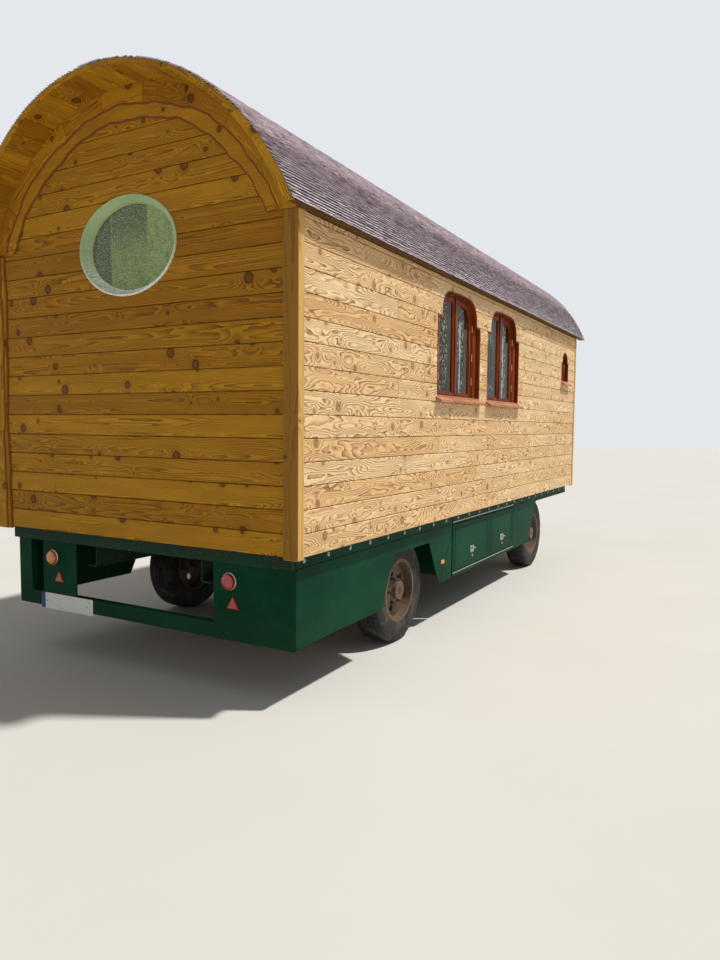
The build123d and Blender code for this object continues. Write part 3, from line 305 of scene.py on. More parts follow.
def castRubber(name, look):
    skin = Skin(name, Specular_IOR_Level=0.35)
    place = skin.place()
    soil, fine = skin.cloud(place, 9, 4.0, 0.65), skin.cloud(place, 240)
    base = skin.blend(fine, look["dark"], look["grey"])
    base = skin.blend(soil.above(0.45, 0.72, 0.0, look["dust"]), base, look["soil"])
    skin.set(Base_Color=base, Roughness=soil.above(0.3, 0.7, 0.72, 0.92))
    skin.bump(fine + soil * 2, 0.0005, 0.5)
    return skin.material


def bareMetal(name, look):
    skin = Skin(name)
    place = x, y, z = skin.place()
    scratch = skin.noise(x * 40, y * 300, z * 300, 3.0, 0.6)
    stain = skin.cloud(place, 30, 3.0, 0.6)
    base = skin.blend(stain.above(0.5, 0.72, 0.0, look["tarnish"]), look["bright"], look["dull"])
    skin.set(
        Base_Color=base, Roughness=scratch.above(0.2, 0.8, look["rough"], look["rough"] + 0.2),
        Metallic=stain.above(0.5, 0.72, 1.0, 1.0 - look["tarnish"]),
    )
    skin.bump(scratch, 0.0003, 0.35)
    return skin.material


def lens(name, look):
    # Moulded plastic lens with prisms across it and a little road film.
    skin = Skin(name, Specular_IOR_Level=0.6, Coat_Roughness=0.06, Coat_Weight=0.6)
    place = x, y, z = skin.place()
    prism = (y * look["pitch"] + x * look["pitch"]).part()
    cross = (z * look["pitch"]).part()
    cell = (prism - 0.5).maths("ABSOLUTE") + (cross - 0.5).maths("ABSOLUTE")
    film = skin.cloud(place, 40, 3.0)
    base = skin.blend(cell, look["light"], look["deep"])
    base = skin.blend(film.above(0.45, 0.75, 0.0, 0.3), base, look["film"])
    skin.set(Base_Color=base, Roughness=film.above(0.3, 0.7, 0.12, 0.35))
    skin.bump(cell, 0.0008, 0.8)
    return skin.material


def glazing(name, look):
    # Dark pane painted with reflections of leaves and sky, and brown cloth hung in its right part with
    # painted shade in its creases.
    skin = Skin(name, Specular_IOR_Level=0.12, IOR=1.5)
    x, y, z = skin.place()
    pitch = look["pitch"]
    across = ((x - look["first"]) / pitch + 0.5).part() * pitch - pitch / 2
    side = across + (skin.noise(z * 2.2, y, 5.0, 1.0) - 0.5) * 0.04
    cloth = side.above(0.205, 0.212) + side.above(-0.150, -0.143) * side.above(-0.05, -0.04, 1.0, 0.0)
    # Creases of the cloth: darker bands are painted shade.
    folds = skin.noise(x * 75, z * 0.6, y)
    # Painted reflections: a pale strip of sky low down, leaves light and dark, and specks of sky glinting
    # between them.
    strip = side.above(0.112, 0.116) * side.above(0.140, 0.146, 1.0, 0.0) * z.above(2.44, 2.48, 1.0, 0.0)
    leaves = skin.noise(x * 26, y * 26, z * 24, 4.0, 0.7)
    fine = skin.noise(x * 46, y * 46, z * 36, 3.0, 0.62)
    clump = skin.noise(x * 5, y * 5, z * 3.6)
    fleck = fine.above(0.53, 0.59) * clump.above(0.36, 0.54)
    base = skin.blend(leaves.above(0.42, 0.62), look["dark"], look["light"])
    base = skin.blend(strip * leaves.above(0.34, 0.5) * 0.9, base, look["sky"])
    base = skin.blend(fleck * 0.65, base, look["fleck"])
    base = skin.blend(cloth * 0.92, base, skin.blend(folds.above(0.35, 0.65), look["fold"], look["cloth"]))
    alpha = clump.above(0.3, 0.7, look["alpha"], 1.0)
    skin.set(Base_Color=base, Roughness=leaves.above(0.4, 0.8, 0.06, 0.16), Alpha=alpha)
    return skin.material


def ovalGlazing(name, look):
    # Speckled pane with upright bands of curtain behind it, light and dark as painted shade of its creases.
    skin = Skin(name, Specular_IOR_Level=0.42)
    x, y, z = skin.place()
    side = y + (skin.noise(y * 2, z * 1.3, 2.0) - 0.5) * 0.02
    strip = side.above(0.178, 0.186)
    panel = side.above(-0.135, -0.125, 1.0, 0.0)
    patchTop = z.above(2.60, 2.88) * side.above(-0.135, -0.125) * side.above(0.165, 0.178, 1.0, 0.0)
    # Creases of the curtain: light and dark bands are painted shade.
    folds = skin.noise(y * 38, z * 0.8, 7.0)
    speckle = skin.noise(y * 190, z * 150, 3.0, 2.0, 0.7)
    blotch = skin.noise(y * 22, z * 22, 9.0, 3.0, 0.6)
    base = skin.blend(folds, look["mid"], look["light"])
    for factor, shade in (
        (strip * 0.75, "dark"), (panel * 0.35, "pale"), (patchTop * 0.7, "dark"),
        (blotch.above(0.4, 0.7, 0.0, 0.45), "dark"), (speckle.above(0.57, 0.63, 0.0, 0.85), "spark"),
    ):
        base = skin.blend(factor, base, look[shade])
    skin.set(Base_Color=base, Roughness=blotch.above(0.3, 0.7, 0.10, 0.26))
    skin.bump(speckle, 0.0004, 0.2)
    return skin.material


# Looks: colours as a picture shows them; what a wood or paint leaves out is in the plain one
plainTimber = {
    "slowU": 0.7, "slowV": 9.0, "rings": 9.0, "bow": 0.9, "ripple": 0.5, "clear": 0.8, "knotSize": 0.03,
    "swirl": 2.0, "lineEdge": 5.0, "lineStrength": 0.5, "toneSpread": 0.6, "weather": 0.3, "rough": 0.58,
    "lateWood": 0.3, "knotStrength": 0.75, "rimStrength": 0.7,
}
plainPaint = {"dust": 0.5, "dustLow": 0.1, "dustHigh": 0.9, "rough": 0.5, "sheen": 0.3}
larch = {
    "side": {
        "pale": "fedfaf", "deep": "e6b87a", "line": "723c14", "stain": "debe94", "knot": "844826",
        "rim": "462212", "seed": 3.0, "slowU": 1.7, "rings": 18.0, "bow": 1.6, "ripple": 1.1, "clear": 0.46,
        "knotSize": 0.042, "swirl": 4.2, "lineEdge": 2.2, "lineStrength": 0.95, "toneSpread": 0.7,
        "weather": 0.25, "rough": 0.62, "knotStrength": 0.55, "rimStrength": 0.55,
    },
    # The gable look is a shaded copy of the side's larch, darker and more saturated: painted shade on the
    # gables and on the trims, live edged post, soffit and bargeboards that share it.
    "gable": {
        "pale": "cf961d", "deep": "a2690a", "line": "4a2302", "stain": "986812", "knot": "542206",
        "rim": "240c03", "seed": 17.0, "slowU": 0.62, "slowV": 11.0, "rings": 17.0, "bow": 3.6, "ripple": 0.7,
        "clear": 0.5, "knotSize": 0.052, "swirl": 5.0, "lineEdge": 1.7, "lineStrength": 0.76,
        "toneSpread": 0.75, "lateWood": 0.2, "knotStrength": 0.62, "rimStrength": 0.8,
    },
    # The post look darkens the rear faces of the rear posts as painted shade.
    "post": {
        "pale": "e2b46c", "deep": "c8944c", "line": "8c5a26", "stain": "b08246", "knot": "5a2c14",
        "rim": "30180a", "seed": 29.0, "slowV": 7.0, "clear": 0.74, "knotSize": 0.04, "lineEdge": 6.0,
        "toneSpread": 0.5, "rearFace": (0.44, 0.36, 0.15),
    },
    # The eave look is dark to stand for the deep shade under the eaves: painted shade.
    "eave": {
        "pale": "684a26", "deep": "52361a", "line": "301c0c", "stain": "4e361e", "knot": "32180c",
        "rim": "1e0e08", "seed": 61.0, "slowU": 0.8, "slowV": 7.0, "lineStrength": 0.4, "toneSpread": 0.5,
        "rough": 0.66,
    },
    "lining": {
        "pale": "e0ba86", "deep": "ca9a62", "line": "9e6c3e", "stain": "c49868", "knot": "6e3e22",
        "rim": "402214", "seed": 41.0, "slowU": 0.9, "rings": 11.0, "bow": 1.2, "clear": 0.6,
        "lineStrength": 0.55, "weather": 0.1, "rough": 0.5,
    },
    "sill": {
        "pale": "d09c74", "deep": "a66842", "line": "703a22", "stain": "ba8a6e", "knot": "542416",
        "rim": "32160e", "seed": 53.0, "slowU": 2.5, "bow": 0.8, "clear": 0.9, "knotSize": 0.02, "swirl": 1.5,
        "lineEdge": 4.0, "toneSpread": 1.0, "weather": 0.5, "rough": 0.62,
    },
}
finishes = {
    "shingle": (weatheredPaintedLight, "weathered_shingle", {
        "light": "eee3e9", "grey": "c4b4bb", "brown": "886e6a", "dark": "2c1d21", "butt": 1.0,
        "streaks": 0.42, "splits": 0.6, "mottle": 0.36,
    }),
    "underlay": (weatheredPaintedLight, "roof_underlay", {
        "light": "4a3e38", "grey": "3a302c", "brown": "403026", "dark": "201a18", "butt": 0.0, "streaks": 0.6,
        "splits": 0.8, "mottle": 0.0,
    }),
    "joinery": (stained, "red_brown_stain", {
        "light": "904016", "deep": "6c2a0b", "dark": "361306",
    }),
    "green": (painted, "green_paint", {
        "deep": "02301e", "light": "06422a", "worn": "16543a", "soil": "3a422a", "rust": "54301e",
        "chips": 0.7, "dust": 0.22, "dustLow": 0.3, "dustHigh": 0.62, "rough": 0.44, "sheen": 0.06,
    }),
    "underframe": (painted, "underframe_paint", {
        "deep": "08281a", "light": "0e3624", "worn": "284634", "sheen": 0.15, "soil": "625642",
        "rust": "5c321e", "chips": 0.62,
    }),
    "axle": (painted, "axle_paint", {
        "deep": "222424", "light": "323432", "worn": "56524c", "soil": "6e5e48", "rust": "683a22",
        "chips": 0.6,
    }),
    "spring": (painted, "spring_steel", {
        "deep": "2e2824", "light": "423a32", "worn": "625446", "soil": "705c44", "rust": "703e24",
        "chips": 0.55, "dustLow": 0.2, "rough": 0.6,
    }),
    "rim": (painted, "rim_paint", {
        "deep": "54483c", "light": "706254", "worn": "928472", "soil": "6c5840", "rust": "703e24",
        "chips": 0.58, "dust": 0.6, "dustHigh": 0.7,
    }),
    # On the ring the near-white soil low down is painted light on its lower reveal, not dust.
    "ring": (painted, "ring_paint", {
        "deep": "9eb684", "light": "b8cc9e", "worn": "cedcb8", "soil": "f4f8f0", "rust": "a8b490",
        "chips": 0.75, "dust": 1.6, "dustLow": 2.38, "dustHigh": 2.72, "rough": 0.4,
    }),
    "rubber": (castRubber, "tyre_rubber", {
        "dark": "1e1e1f", "grey": "2e2e2e", "soil": "706450", "dust": 0.5,
    }),
    "steel": (bareMetal, "galvanised_steel", {
        "bright": "b0b0ac", "dull": "6e6458", "tarnish": 0.5, "rough": 0.35,
    }),
    "brass": (bareMetal, "aged_brass", {
        "bright": "bea060", "dull": "624e30", "tarnish": 0.5, "rough": 0.3,
    }),
    # Bark along the waney edges, dark also as the painted shadow line at those edges.
    "bark": (castRubber, "bark_edge", {
        "dark": "703a10", "grey": "8c501a", "soil": "966028", "dust": 0.4,
    }),
    "amber": (lens, "amber_lens", {
        "light": "f0961e", "deep": "be5c0a", "film": "aa8c64", "pitch": 160,
    }),
    "red": (lens, "red_lens", {
        "light": "ce1a14", "deep": "7e0808", "film": "8c5a4c", "pitch": 160,
    }),
    "reflector": (castRubber, "reflector_rim", {
        "dark": "78100e", "grey": "961814", "soil": "6e463c", "dust": 0.4,
    }),
    "pane": (glazing, "dark_pane", {
        "dark": "060803", "light": "242a10", "fold": "140b06", "cloth": "4a301c", "fleck": "a8ae8e",
        "sky": "9eb8d0", "alpha": 0.92, "first": rear + 2.312, "pitch": 1.105,
    }),
    "ovalPane": (ovalGlazing, "oval_pane", {
        "mid": "6b8642", "light": "839c56", "pale": "a0b670", "dark": "283612", "spark": "e4eebe",
    }),
}
woods = {key: timber("larch_" + key, linear({**plainTimber, **look})) for key, look in larch.items()}
finishes = {key: kind(name, linear(look)) for key, (kind, name, look) in finishes.items()}
print("stage: finishes made")


def plateMesh(outlines, depth, thick, edge=0.0015, resolution=1):
    # Flat piece in a wall's frame: outlines in (x, z), from depth inwards.
    curve = bpy.data.curves.new("outline", "CURVE")
    curve.dimensions, curve.fill_mode = "2D", "BOTH"
    curve.extrude, curve.bevel_depth = thick / 2 - edge, edge
    curve.bevel_resolution, curve.offset = resolution, -edge
    for points in outlines:
        spline = curve.splines.new("POLY")
        spline.points.add(len(points) - 1)
        for knot, point in zip(spline.points, points):
            knot.co = (*point, 0, 1)
        spline.use_cyclic_u = True
    holder = bpy.data.objects.new("outline", curve)
    mesh = bpy.data.meshes.new_from_object(holder)
    bpy.data.objects.remove(holder)
    bpy.data.curves.remove(curve)
    mesh.transform(Matrix.Translation((0, depth + thick / 2, 0)) @ Matrix.Rotation(math.pi / 2, 4, "X"))
    joined = bmesh.new()
    joined.from_mesh(mesh)
    bmesh.ops.remove_doubles(joined, verts=joined.verts, dist=1e-5)
    joined.to_mesh(mesh)
    joined.free()
    return mesh


def dress(piece, finish, slot, *nodes, body="root", smooth=False):
    # Gives a piece its finish, its body and the nodes it stands for.
    if smooth:
        piece.data.shade_smooth()
        piece.data.set_sharp_from_angle(angle=math.radians(38))
    piece.data.materials.clear()
    piece.data.materials.append(finish)
    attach(piece, body)
    if nodes:
        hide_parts(*nodes)


class Shape:
    # Gathers one mesh from many parts; UVs hold each part's run of grain.
    def __init__(self):
        self.mesh = bmesh.new()
        self.uvs = self.mesh.loops.layers.uv.new("grain")
        self.parts = luck.randrange(60)

    def lay(self, faces, along, across):
        depth = along.cross(across)
        corners = [corner for face in faces for corner in face.loops]
        low = min(corner.vert.co.dot(across) for corner in corners)
        deep = min(corner.vert.co.dot(depth) for corner in corners)
        start = luck.uniform(0, 60)
        self.parts += 1
        for corner in corners:
            point = corner.vert.co
            drop = point.dot(across) - low + point.dot(depth) - deep
            corner[self.uvs].uv = (start + point.dot(along), self.parts % 199 + 0.3 + drop)

    def skinOver(self, points, faces, along=axisX, across=axisZ):
        made = [self.mesh.verts.new(point) for point in points]
        skins = [self.mesh.faces.new([made[k] for k in face]) for face in faces]
        self.lay(skins, along, across)
        return skins

    def block(self, low, high, along=axisX, across=axisZ, edge=0.002):
        # A box whose twelve edges are chamfered.
        signs = list(product((0, 1), repeat=3))
        points, number, faces = [], {}, []
        for sign, axis in product(signs, range(3)):
            number[sign, axis] = len(points)
            inset = [0 if k == axis else edge for k in range(3)]
            points.append([high[k] - inset[k] if sign[k] else low[k] + inset[k] for k in range(3)])

        def corner(axis, value, first, second):
            made = [0, 0, 0]
            made[axis], made[(axis + 1) % 3], made[(axis + 2) % 3] = value, first, second
            return tuple(made)

        for axis in range(3):
            near, far = (axis + 1) % 3, (axis + 2) % 3
            for value in (0, 1):
                ring = ((0, 0), (1, 0), (1, 1), (0, 1))
                faces.append([number[corner(axis, value, *pair), axis] for pair in ring])
            for pair in product((0, 1), repeat=2):
                start, end = corner(axis, 0, *pair), corner(axis, 1, *pair)
                faces.append([number[start, near], number[end, near], number[end, far], number[start, far]])
        faces += [[number[s, 0], number[s, 1], number[s, 2]] for s in signs]
        self.skinOver(points, faces, along, across)

    def tube(self, rings, along=axisX, across=axisZ, closed=False):
        # Joins rings of equal count into one surface, capped if not closed.
        count = len(rings[0])
        points = [point for ring in rings for point in ring]
        faces = []
        for row in range(len(rings) if closed else len(rings) - 1):
            here, there = row * count, (row + 1) % len(rings) * count
            faces += [
                [here + k, here + (k + 1) % count, there + (k + 1) % count, there + k]
                for k in range(count)
            ]
        if not closed:
            faces += [list(range(count)), list(range(len(points) - count, len(points)))]
        self.skinOver(points, faces, along, across)

    def bar(self, section, start, end):
        # A bar along X with one section in (y, z).
        self.tube([[(x, y, z) for y, z in section] for x in (start, end)], axisX, axisY)

    def rod(self, start, end, radius, count=16, tip=0.0015):
        # A turned bar with a chamfer at each end.
        start, end = Vector(start), Vector(end)
        way = (end - start).normalized()
        side = way.orthogonal().normalized()
        other = way.cross(side)
        inside = way * tip
        stops = (start, radius - tip), (start + inside, radius), (end - inside, radius), (end, radius - tip)
        rings = [
            [centre + (side * math.cos(t) + other * math.sin(t)) * reach for t in turns(count)]
            for centre, reach in stops
        ]
        self.tube(rings, way, side)

    def plate(self, outlines, depth, thick, edge=0.0015, resolution=1, along=axisZ, across=axisX):
        # A flat piece in a wall's frame as one more part.
        before = set(self.mesh.faces)
        mesh = plateMesh(outlines, depth, thick, edge, resolution)
        self.mesh.from_mesh(mesh)
        bpy.data.meshes.remove(mesh)
        self.lay([face for face in self.mesh.faces if face not in before], along, across)

    def build(self, name, wall=None):
        bmesh.ops.recalc_face_normals(self.mesh, faces=self.mesh.faces)
        mesh = bpy.data.meshes.new(name)
        self.mesh.to_mesh(mesh)
        self.mesh.free()
        if wall:
            mesh.transform(walls[wall])
        piece = bpy.data.objects.new(name, mesh)
        bpy.context.scene.collection.objects.link(piece)
        return piece

    def settle(self, name, finish, slot, *nodes, body="root", wall=None, smooth=False):
        dress(self.build(name, wall), finish, slot, *nodes, body=body, smooth=smooth)


def turns(count):
    return [2 * math.pi * k / count for k in range(count)]


def around(x, z, radius, angle):
    return x + radius * math.cos(angle), z + radius * math.sin(angle)


def wallMatrix(turn, *origin):
    # Wall frame: x along the wall, y inwards from the boards' face, z up.
    return Matrix.Translation((*origin, 0)) @ Matrix.Rotation(math.radians(turn), 4, "Z")


walls = {
    "right": wallMatrix(0, rear, -sideFace), "left": wallMatrix(180, rear, sideFace),
    "rear": wallMatrix(-90, gableRear, 0), "front": wallMatrix(90, gableFront, 0),
}


def archOutline(half, foot, spring, haunch, crown, shoulder=None, archHalf=None):
    # Three centred arch about x = 0, with shoulders if they are given.
    arch = archHalf or half
    offset, rise = arch - haunch, crown - spring
    big = (offset**2 + rise**2 - haunch**2) / (2 * (rise - haunch))
    turn = math.atan2(spring - crown + big, offset)
    right = [around(offset, spring, haunch, turn * k / 6) for k in range(7)]
    top = [around(0, crown - big, big, turn + (math.pi - 2 * turn) * k / 18) for k in range(1, 18)]
    head = right + top + [(-x, z) for x, z in reversed(right)]
    if shoulder:
        head = [(half, shoulder), (arch, shoulder)] + head + [(-arch, shoulder), (-half, shoulder)]
    return [(-half, foot), (half, foot)] + head


def frameOutline(outer, edge):
    # What lies between two arches that stand on one foot.
    return outer[1:] + [outer[0], edge[0]] + edge[:1:-1] + [edge[1]]


def clip(points, limit):
    # The part of an outline with x below the limit.
    kept = []
    for (x0, z0), (x1, z1) in zip(points, points[1:] + points[:1]):
        if x0 <= limit:
            kept.append((x0, z0))
        if (x0 <= limit) != (x1 <= limit):
            kept.append((limit, z0 + (limit - x0) / (x1 - x0) * (z1 - z0)))
    return kept


def shift(points, x):
    return [(px + x, pz) for px, pz in points]


def ellipse(a, b, count):
    return [(a * math.cos(t), oval["z"] + b * math.sin(t)) for t in turns(count)]


def carve(piece, outlines, keep=False):
    # Cuts openings through a wall piece, or keeps only what is inside them.
    cutter = bpy.data.objects.new("cutter", plateMesh(outlines, -0.3, 0.8, 0.0001, 0))
    bpy.context.scene.collection.objects.link(cutter)
    cut = piece.modifiers.new("cut", "BOOLEAN")
    cut.operation = "INTERSECT" if keep else "DIFFERENCE"
    cut.solver, cut.object = "EXACT", cutter
    bpy.context.view_layer.update()
    solid = piece.evaluated_get(bpy.context.evaluated_depsgraph_get())
    mesh = bpy.data.meshes.new_from_object(solid)
    piece.modifiers.clear()
    old, piece.data = piece.data, mesh
    gone = cutter.data
    bpy.data.objects.remove(cutter)
    for mesh in (old, gone):
        bpy.data.meshes.remove(mesh)


# Board cladding
boards = {
    "pitch": 0.1303, "gap": 0.0040, "edge": 0.0034, "thick": 0.022, "shortest": 1.1, "longest": 3.6,
    "liningPitch": 0.098, "liningThick": 0.014,
}
boardKeys, liningKeys = ("pitch", "thick"), ("liningPitch", "liningThick")


def boarding(start, end, top, jointed, lining=False):
    # Rows of boards in a wall's frame, each row with its own butt joints.
    made = Shape()
    pitch, thick = (boards[key] for key in (liningKeys if lining else boardKeys))
    low, gap, edge = bottom, boards["gap"] / 2, boards["edge"] * (0.6 if lining else 1)
    while low < top - 0.012:
        high = min(low + pitch, top)
        stops = [start]
        while jointed and end - stops[-1] > boards["longest"] * 0.6:
            stops.append(stops[-1] + luck.uniform(boards["shortest"], boards["longest"]))
        stops = [s for s in stops if s < end - 0.5] + [end]
        for left, right in zip(stops, stops[1:]):
            back = luck.uniform(0.0001, 0.0014)
            near, far = (cabin["wall"] - thick, cabin["wall"]) if lining else (back, back + thick)
            made.block((left + gap, near, low + gap), (right - gap, far, high - gap), edge=edge)
        low = high
    return made


def cladWall(name, start, end, top, jointed, finish, holes, outline=None):
    # Boards, core and lining of one wall, cut to its outline and its openings.
    outside, core = boarding(start, end, top, jointed), Shape()
    core.block((start, boards["thick"] + 0.0015, bottom), (end, cabin["wall"] - boards["liningThick"], top))
    lining = boarding(start, end, top, jointed, True)
    for label, made in (("cladding", outside), ("wall_core", core), ("lining", lining)):
        piece = made.build(f"{label}_{name}")
        if outline:
            carve(piece, [outline], keep=True)
        carve(piece, holes)
        piece.data.transform(walls[name])
        if made is outside:
            dress(piece, finish, "larch", f"wall_{name}")
        else:
            dress(piece, woods["lining"], "larch")


# Side windows: station, casements, then half width, foot, shoulder, arch half width,
# springing, haunch radius and crown.
windows = (
    (2.312, 2, (0.462, 1.850, 2.450, 0.375, 2.490, 0.165, 2.662)),
    (3.417, 2, (0.462, 1.850, 2.450, 0.375, 2.490, 0.165, 2.662)),
    (length - 0.545, 1, (0.168, 2.175, 2.400, 0.125, 2.412, 0.095, 2.520)),
)
joinery = {
    "setback": 0.038, "depth": 0.045, "sashBack": 0.008, "face": 0.020, "stile": 0.050, "meeting": 0.108,
    "casing": 0.013, "bead": 0.009, "foot": 0.008, "rail": 0.030, "sillRise": 0.038, "sillProud": 0.050,
    "sillFall": 0.035, "sillNose": 0.025, "horn": 0.020, "planks": 4, "clear": 0.0015, "pane": 0.012,
    "cover": 0.021, "pin": 0.006, "knuckle": 0.03, "hinges": (0.14, 0.02, 0.06), "step": (0.008, 0.030),
    "edge": 0.003, "joint": 0.0008,
}
door = {"half": 0.400, "floor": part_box("floor")[1].z, "spring": 2.640, "haunch": 0.220, "crown": 2.880}
oval = {"z": 2.689, "a": 0.410, "b": 0.302, "pane": 0.060, "flat": 0.73, "splay": 0.02}
haunchTurn = math.asin((eave - barrel["axis"]) / barrel["soffit"])


def windowOutline(window, inset, low, shouldered=False):
    # A window's outline drawn in by an inset, its foot at low.
    half, foot, shoulder, arch, spring, haunch, crown = window
    if shouldered:
        return archOutline(
            half - inset, low, spring, haunch - inset, crown - inset, shoulder - inset, arch - inset)
    return archOutline(arch - inset, low, spring, haunch - inset, crown - inset)


def doorArch(inset, low):
    half, spring, haunch, crown = (door[key] for key in ("half", "spring", "haunch", "crown"))
    return archOutline(half - inset, low, spring, haunch - inset, crown - inset)


for side, sign in hands.items():
    stops = sorted((sign * cabin["post"], sign * (length - cabin["post"])))
    holes = [
        shift(windowOutline(window, 0, window[1] - joinery["sillRise"], True), sign * station)
        for station, sashes, window in windows
    ]
    cladWall(side, *stops, eave, True, woods["side"], holes)

gableTop = barrel["axis"] + barrel["soffit"] + 0.005
gableHalf = math.sqrt(barrel["soffit"]**2 - (eave - barrel["axis"])**2) + 0.006
soffitArc = [
    around(0, barrel["axis"], barrel["soffit"], haunchTurn + (math.pi - 2 * haunchTurn) * k / 48)
    for k in range(49)
]
gableOutline = [(-inner, bottom), (inner, bottom), (inner, eave)] + soffitArc + [(-inner, eave)]
for end, hole in (("rear", ellipse(oval["a"], oval["b"], 96)), ("front", doorArch(0, door["floor"]))):
    cladWall(end, -gableHalf, gableHalf, gableTop, False, woods["gable"], [hole], gableOutline)
print("stage: walls clad")

# Corner posts, flush outside, and the live edged board at the rear left
postLook = {"edge": 0.004, "bark": 0.030, "rind": 0.009, "wave": 0.013, "liveWidth": 0.112, "wide": 0.100}
live = {"board": (-0.0115, 0.0115, 0.002), "top": (-0.0200, 0.0090), "under": (-0.0060, 0.0060, 0.001),
        "over": (-0.0150, 0.0040, 0.001)}  # depth and thickness of the boards and their bark, dark also as a painted shadow line
made = Shape()
made.block((rear, -cabinHalf, postBottom), (rear + cabin["post"], -cabinHalf + postLook["wide"], eave),
           axisZ, axisY, postLook["edge"])
made.settle("corner_post_rear_right", woods["post"], "larch", "post_rear_right")
made = Shape()
for sign in (-1, 1):
    low, high = sorted((sign * cabinHalf, sign * inner))
    made.block((front - cabin["post"], low, postBottom), (front, high, eave),
               axisZ, axisY, postLook["edge"])
made.settle("corner_posts_front", woods["post"], "larch", "posts_front")


def wander(t, seed, size):
    # Slow uneven wave of a log's edge.
    waves = 0.55 * math.sin(t * 2.1 + seed) + 0.32 * math.sin(t * 5.3 + 2 * seed)
    return size * (waves + 0.18 * math.sin(t * 11.7 + seed * 3))


def livePost(inset, seed, steps=60):
    # Outline from the outer edge to a waving inner edge, in the rear wall's frame.
    edge = [
        (-cabinHalf + postLook["liveWidth"] - inset + wander(4.2 * k / steps, seed, postLook["wave"]),
         postBottom + (eave - postBottom) * k / steps)
        for k in range(steps + 1)
    ]
    return [(-cabinHalf, eave), (-cabinHalf, postBottom)] + edge


made = Shape()
made.block((-cabinHalf, -0.0002, postBottom), (-inner, 0.040, eave), axisZ, axisX, postLook["edge"])
made.plate([livePost(0.0, 1.0)], *live["board"])
made.plate([livePost(postLook["bark"], 2.2)], *live["top"], 0.004, 2)
made.settle("live_edge_post", woods["gable"], "larch", "post_rear_left", wall="rear")
# Dark rind round the waney edge: bark, and the painted shadow line along it.
made = Shape()
made.plate([livePost(-postLook["rind"], 1.0)], *live["under"])
made.plate([livePost(postLook["bark"] - postLook["rind"], 2.2)], *live["over"])
made.settle("live_edge_bark_and_shadow", finishes["bark"], "larch", wall="rear")

trimLook = {"width": 0.184, "band": 0.080, "wave": 0.014, "steps": 150, "rind": 0.012, "segments": 9,
            "joint": 0.0022, "turn": 3.0, "grain": (0.13, 0.74)}


def trimOutline(inset, seed, first=0.0, last=1.0):
    # Between the soffit and a wandering edge, for a share of the arch from the right.
    steps = max(12, round(trimLook["steps"] * (last - first)))
    edge, arc = [], []
    for k in range(steps + 1):
        share = first + (last - first) * k / steps
        angle = haunchTurn + (math.pi - 2 * haunchTurn) * share
        reach = barrel["soffit"] - trimLook["width"] + inset + wander(11 * share, seed, trimLook["wave"])
        for line, radius in ((edge, reach), (arc, barrel["soffit"] - 0.0003)):
            line.append(around(0, barrel["axis"], radius, angle))
    return [p for p in edge if p[1] > eave] + [p for p in arc[::-1] if p[1] > eave - 1e-6]


count, joint = trimLook["segments"], trimLook["joint"] / (trimLook["turn"] * barrel["soffit"])
for end, seed in (("rear", 0.4), ("front", 3.0)):
    made = Shape()
    made.plate([trimOutline(0.0, seed)], *live["board"], along=axisX, across=axisZ)
    for k in range(count):
        start, sweep = trimLook["grain"]
        angle = math.pi * (start + sweep * (k + 0.5) / count)
        first, last = max(k / count + joint, 0.0), min((k + 1) / count - joint, 1.0)
        outline = trimOutline(trimLook["band"], seed + 1.3, first, last)
        along, across = (Vector((x, 0, z)) for x, z in (
            (-math.sin(angle), math.cos(angle)), (math.cos(angle), math.sin(angle))))
        made.plate([outline], *live["top"], 0.002, 1, along, across)
    made.settle(f"arch_trim_{end}", woods["gable"], "larch", f"gable_trim_{end}", wall=end)
    # Dark rind round the trims' waney edges: bark, and the painted shadow line along them.
    made = Shape()
    for inset, wave, layer in ((0.0, seed, "under"), (trimLook["band"], seed + 1.3, "over")):
        made.plate([trimOutline(inset - trimLook["rind"], wave)], *live[layer], along=axisX, across=axisZ)
    made.settle(f"arch_trim_bark_and_shadow_{end}", finishes["bark"], "larch", wall=end)
print("stage: posts and trims")

# Roof: soffit boards, underlay, raked bargeboards and shingles
shingles = {
    "courses": 78, "lap": 0.024, "thick": 0.0058, "narrow": 0.022, "wide": 0.070, "gap": 0.0026,
    "ragged": 0.0042, "lift": 0.0026, "corner": 0.0016, "skew": 0.0012, "sink": 0.0030, "ridgeStep": 0.070,
}
soffit = {"count": 26, "gap": 0.0012, "thick": 0.016, "inset": 0.006, "underlay": 0.022}
barge = {"count": 6, "gap": 0.0012, "low": 1.3490, "high": 1.4200, "thick": 0.024, "nudge": 0.0015}


def rake(z, end):
    # X of the raked verge at a height.
    share = (z - eave) / (ridge - eave)
    low, high = barrel["rakeRear"] if end == "rear" else barrel["rakeFront"]
    reach = low + (high - low) * share
    return rear - reach if end == "rear" else front + reach


def raked(made, section, inset, across):
    # A bar along the roof whose ends follow the raked verges.
    rings = [[(rake(z, end) + way * inset, y, z) for y, z in section] for end, way in ends.items()]
    made.tube(rings, axisX, across)


def roofPoint(angle, radius, axis=barrel["coverAxis"]):
    # Y and Z at an angle from the ridge, right side positive.
    return -radius * math.sin(angle), axis + radius * math.cos(angle)


def soffitPoint(angle, radius):
    return roofPoint(angle, radius, barrel["axis"])


def portion(turn, look, k):
    # First and last angle of one of the pieces that share an arc.
    gap, count = look["gap"] / 2, look["count"]
    return -turn + 2 * turn * k / count + gap, -turn + 2 * turn * (k + 1) / count - gap


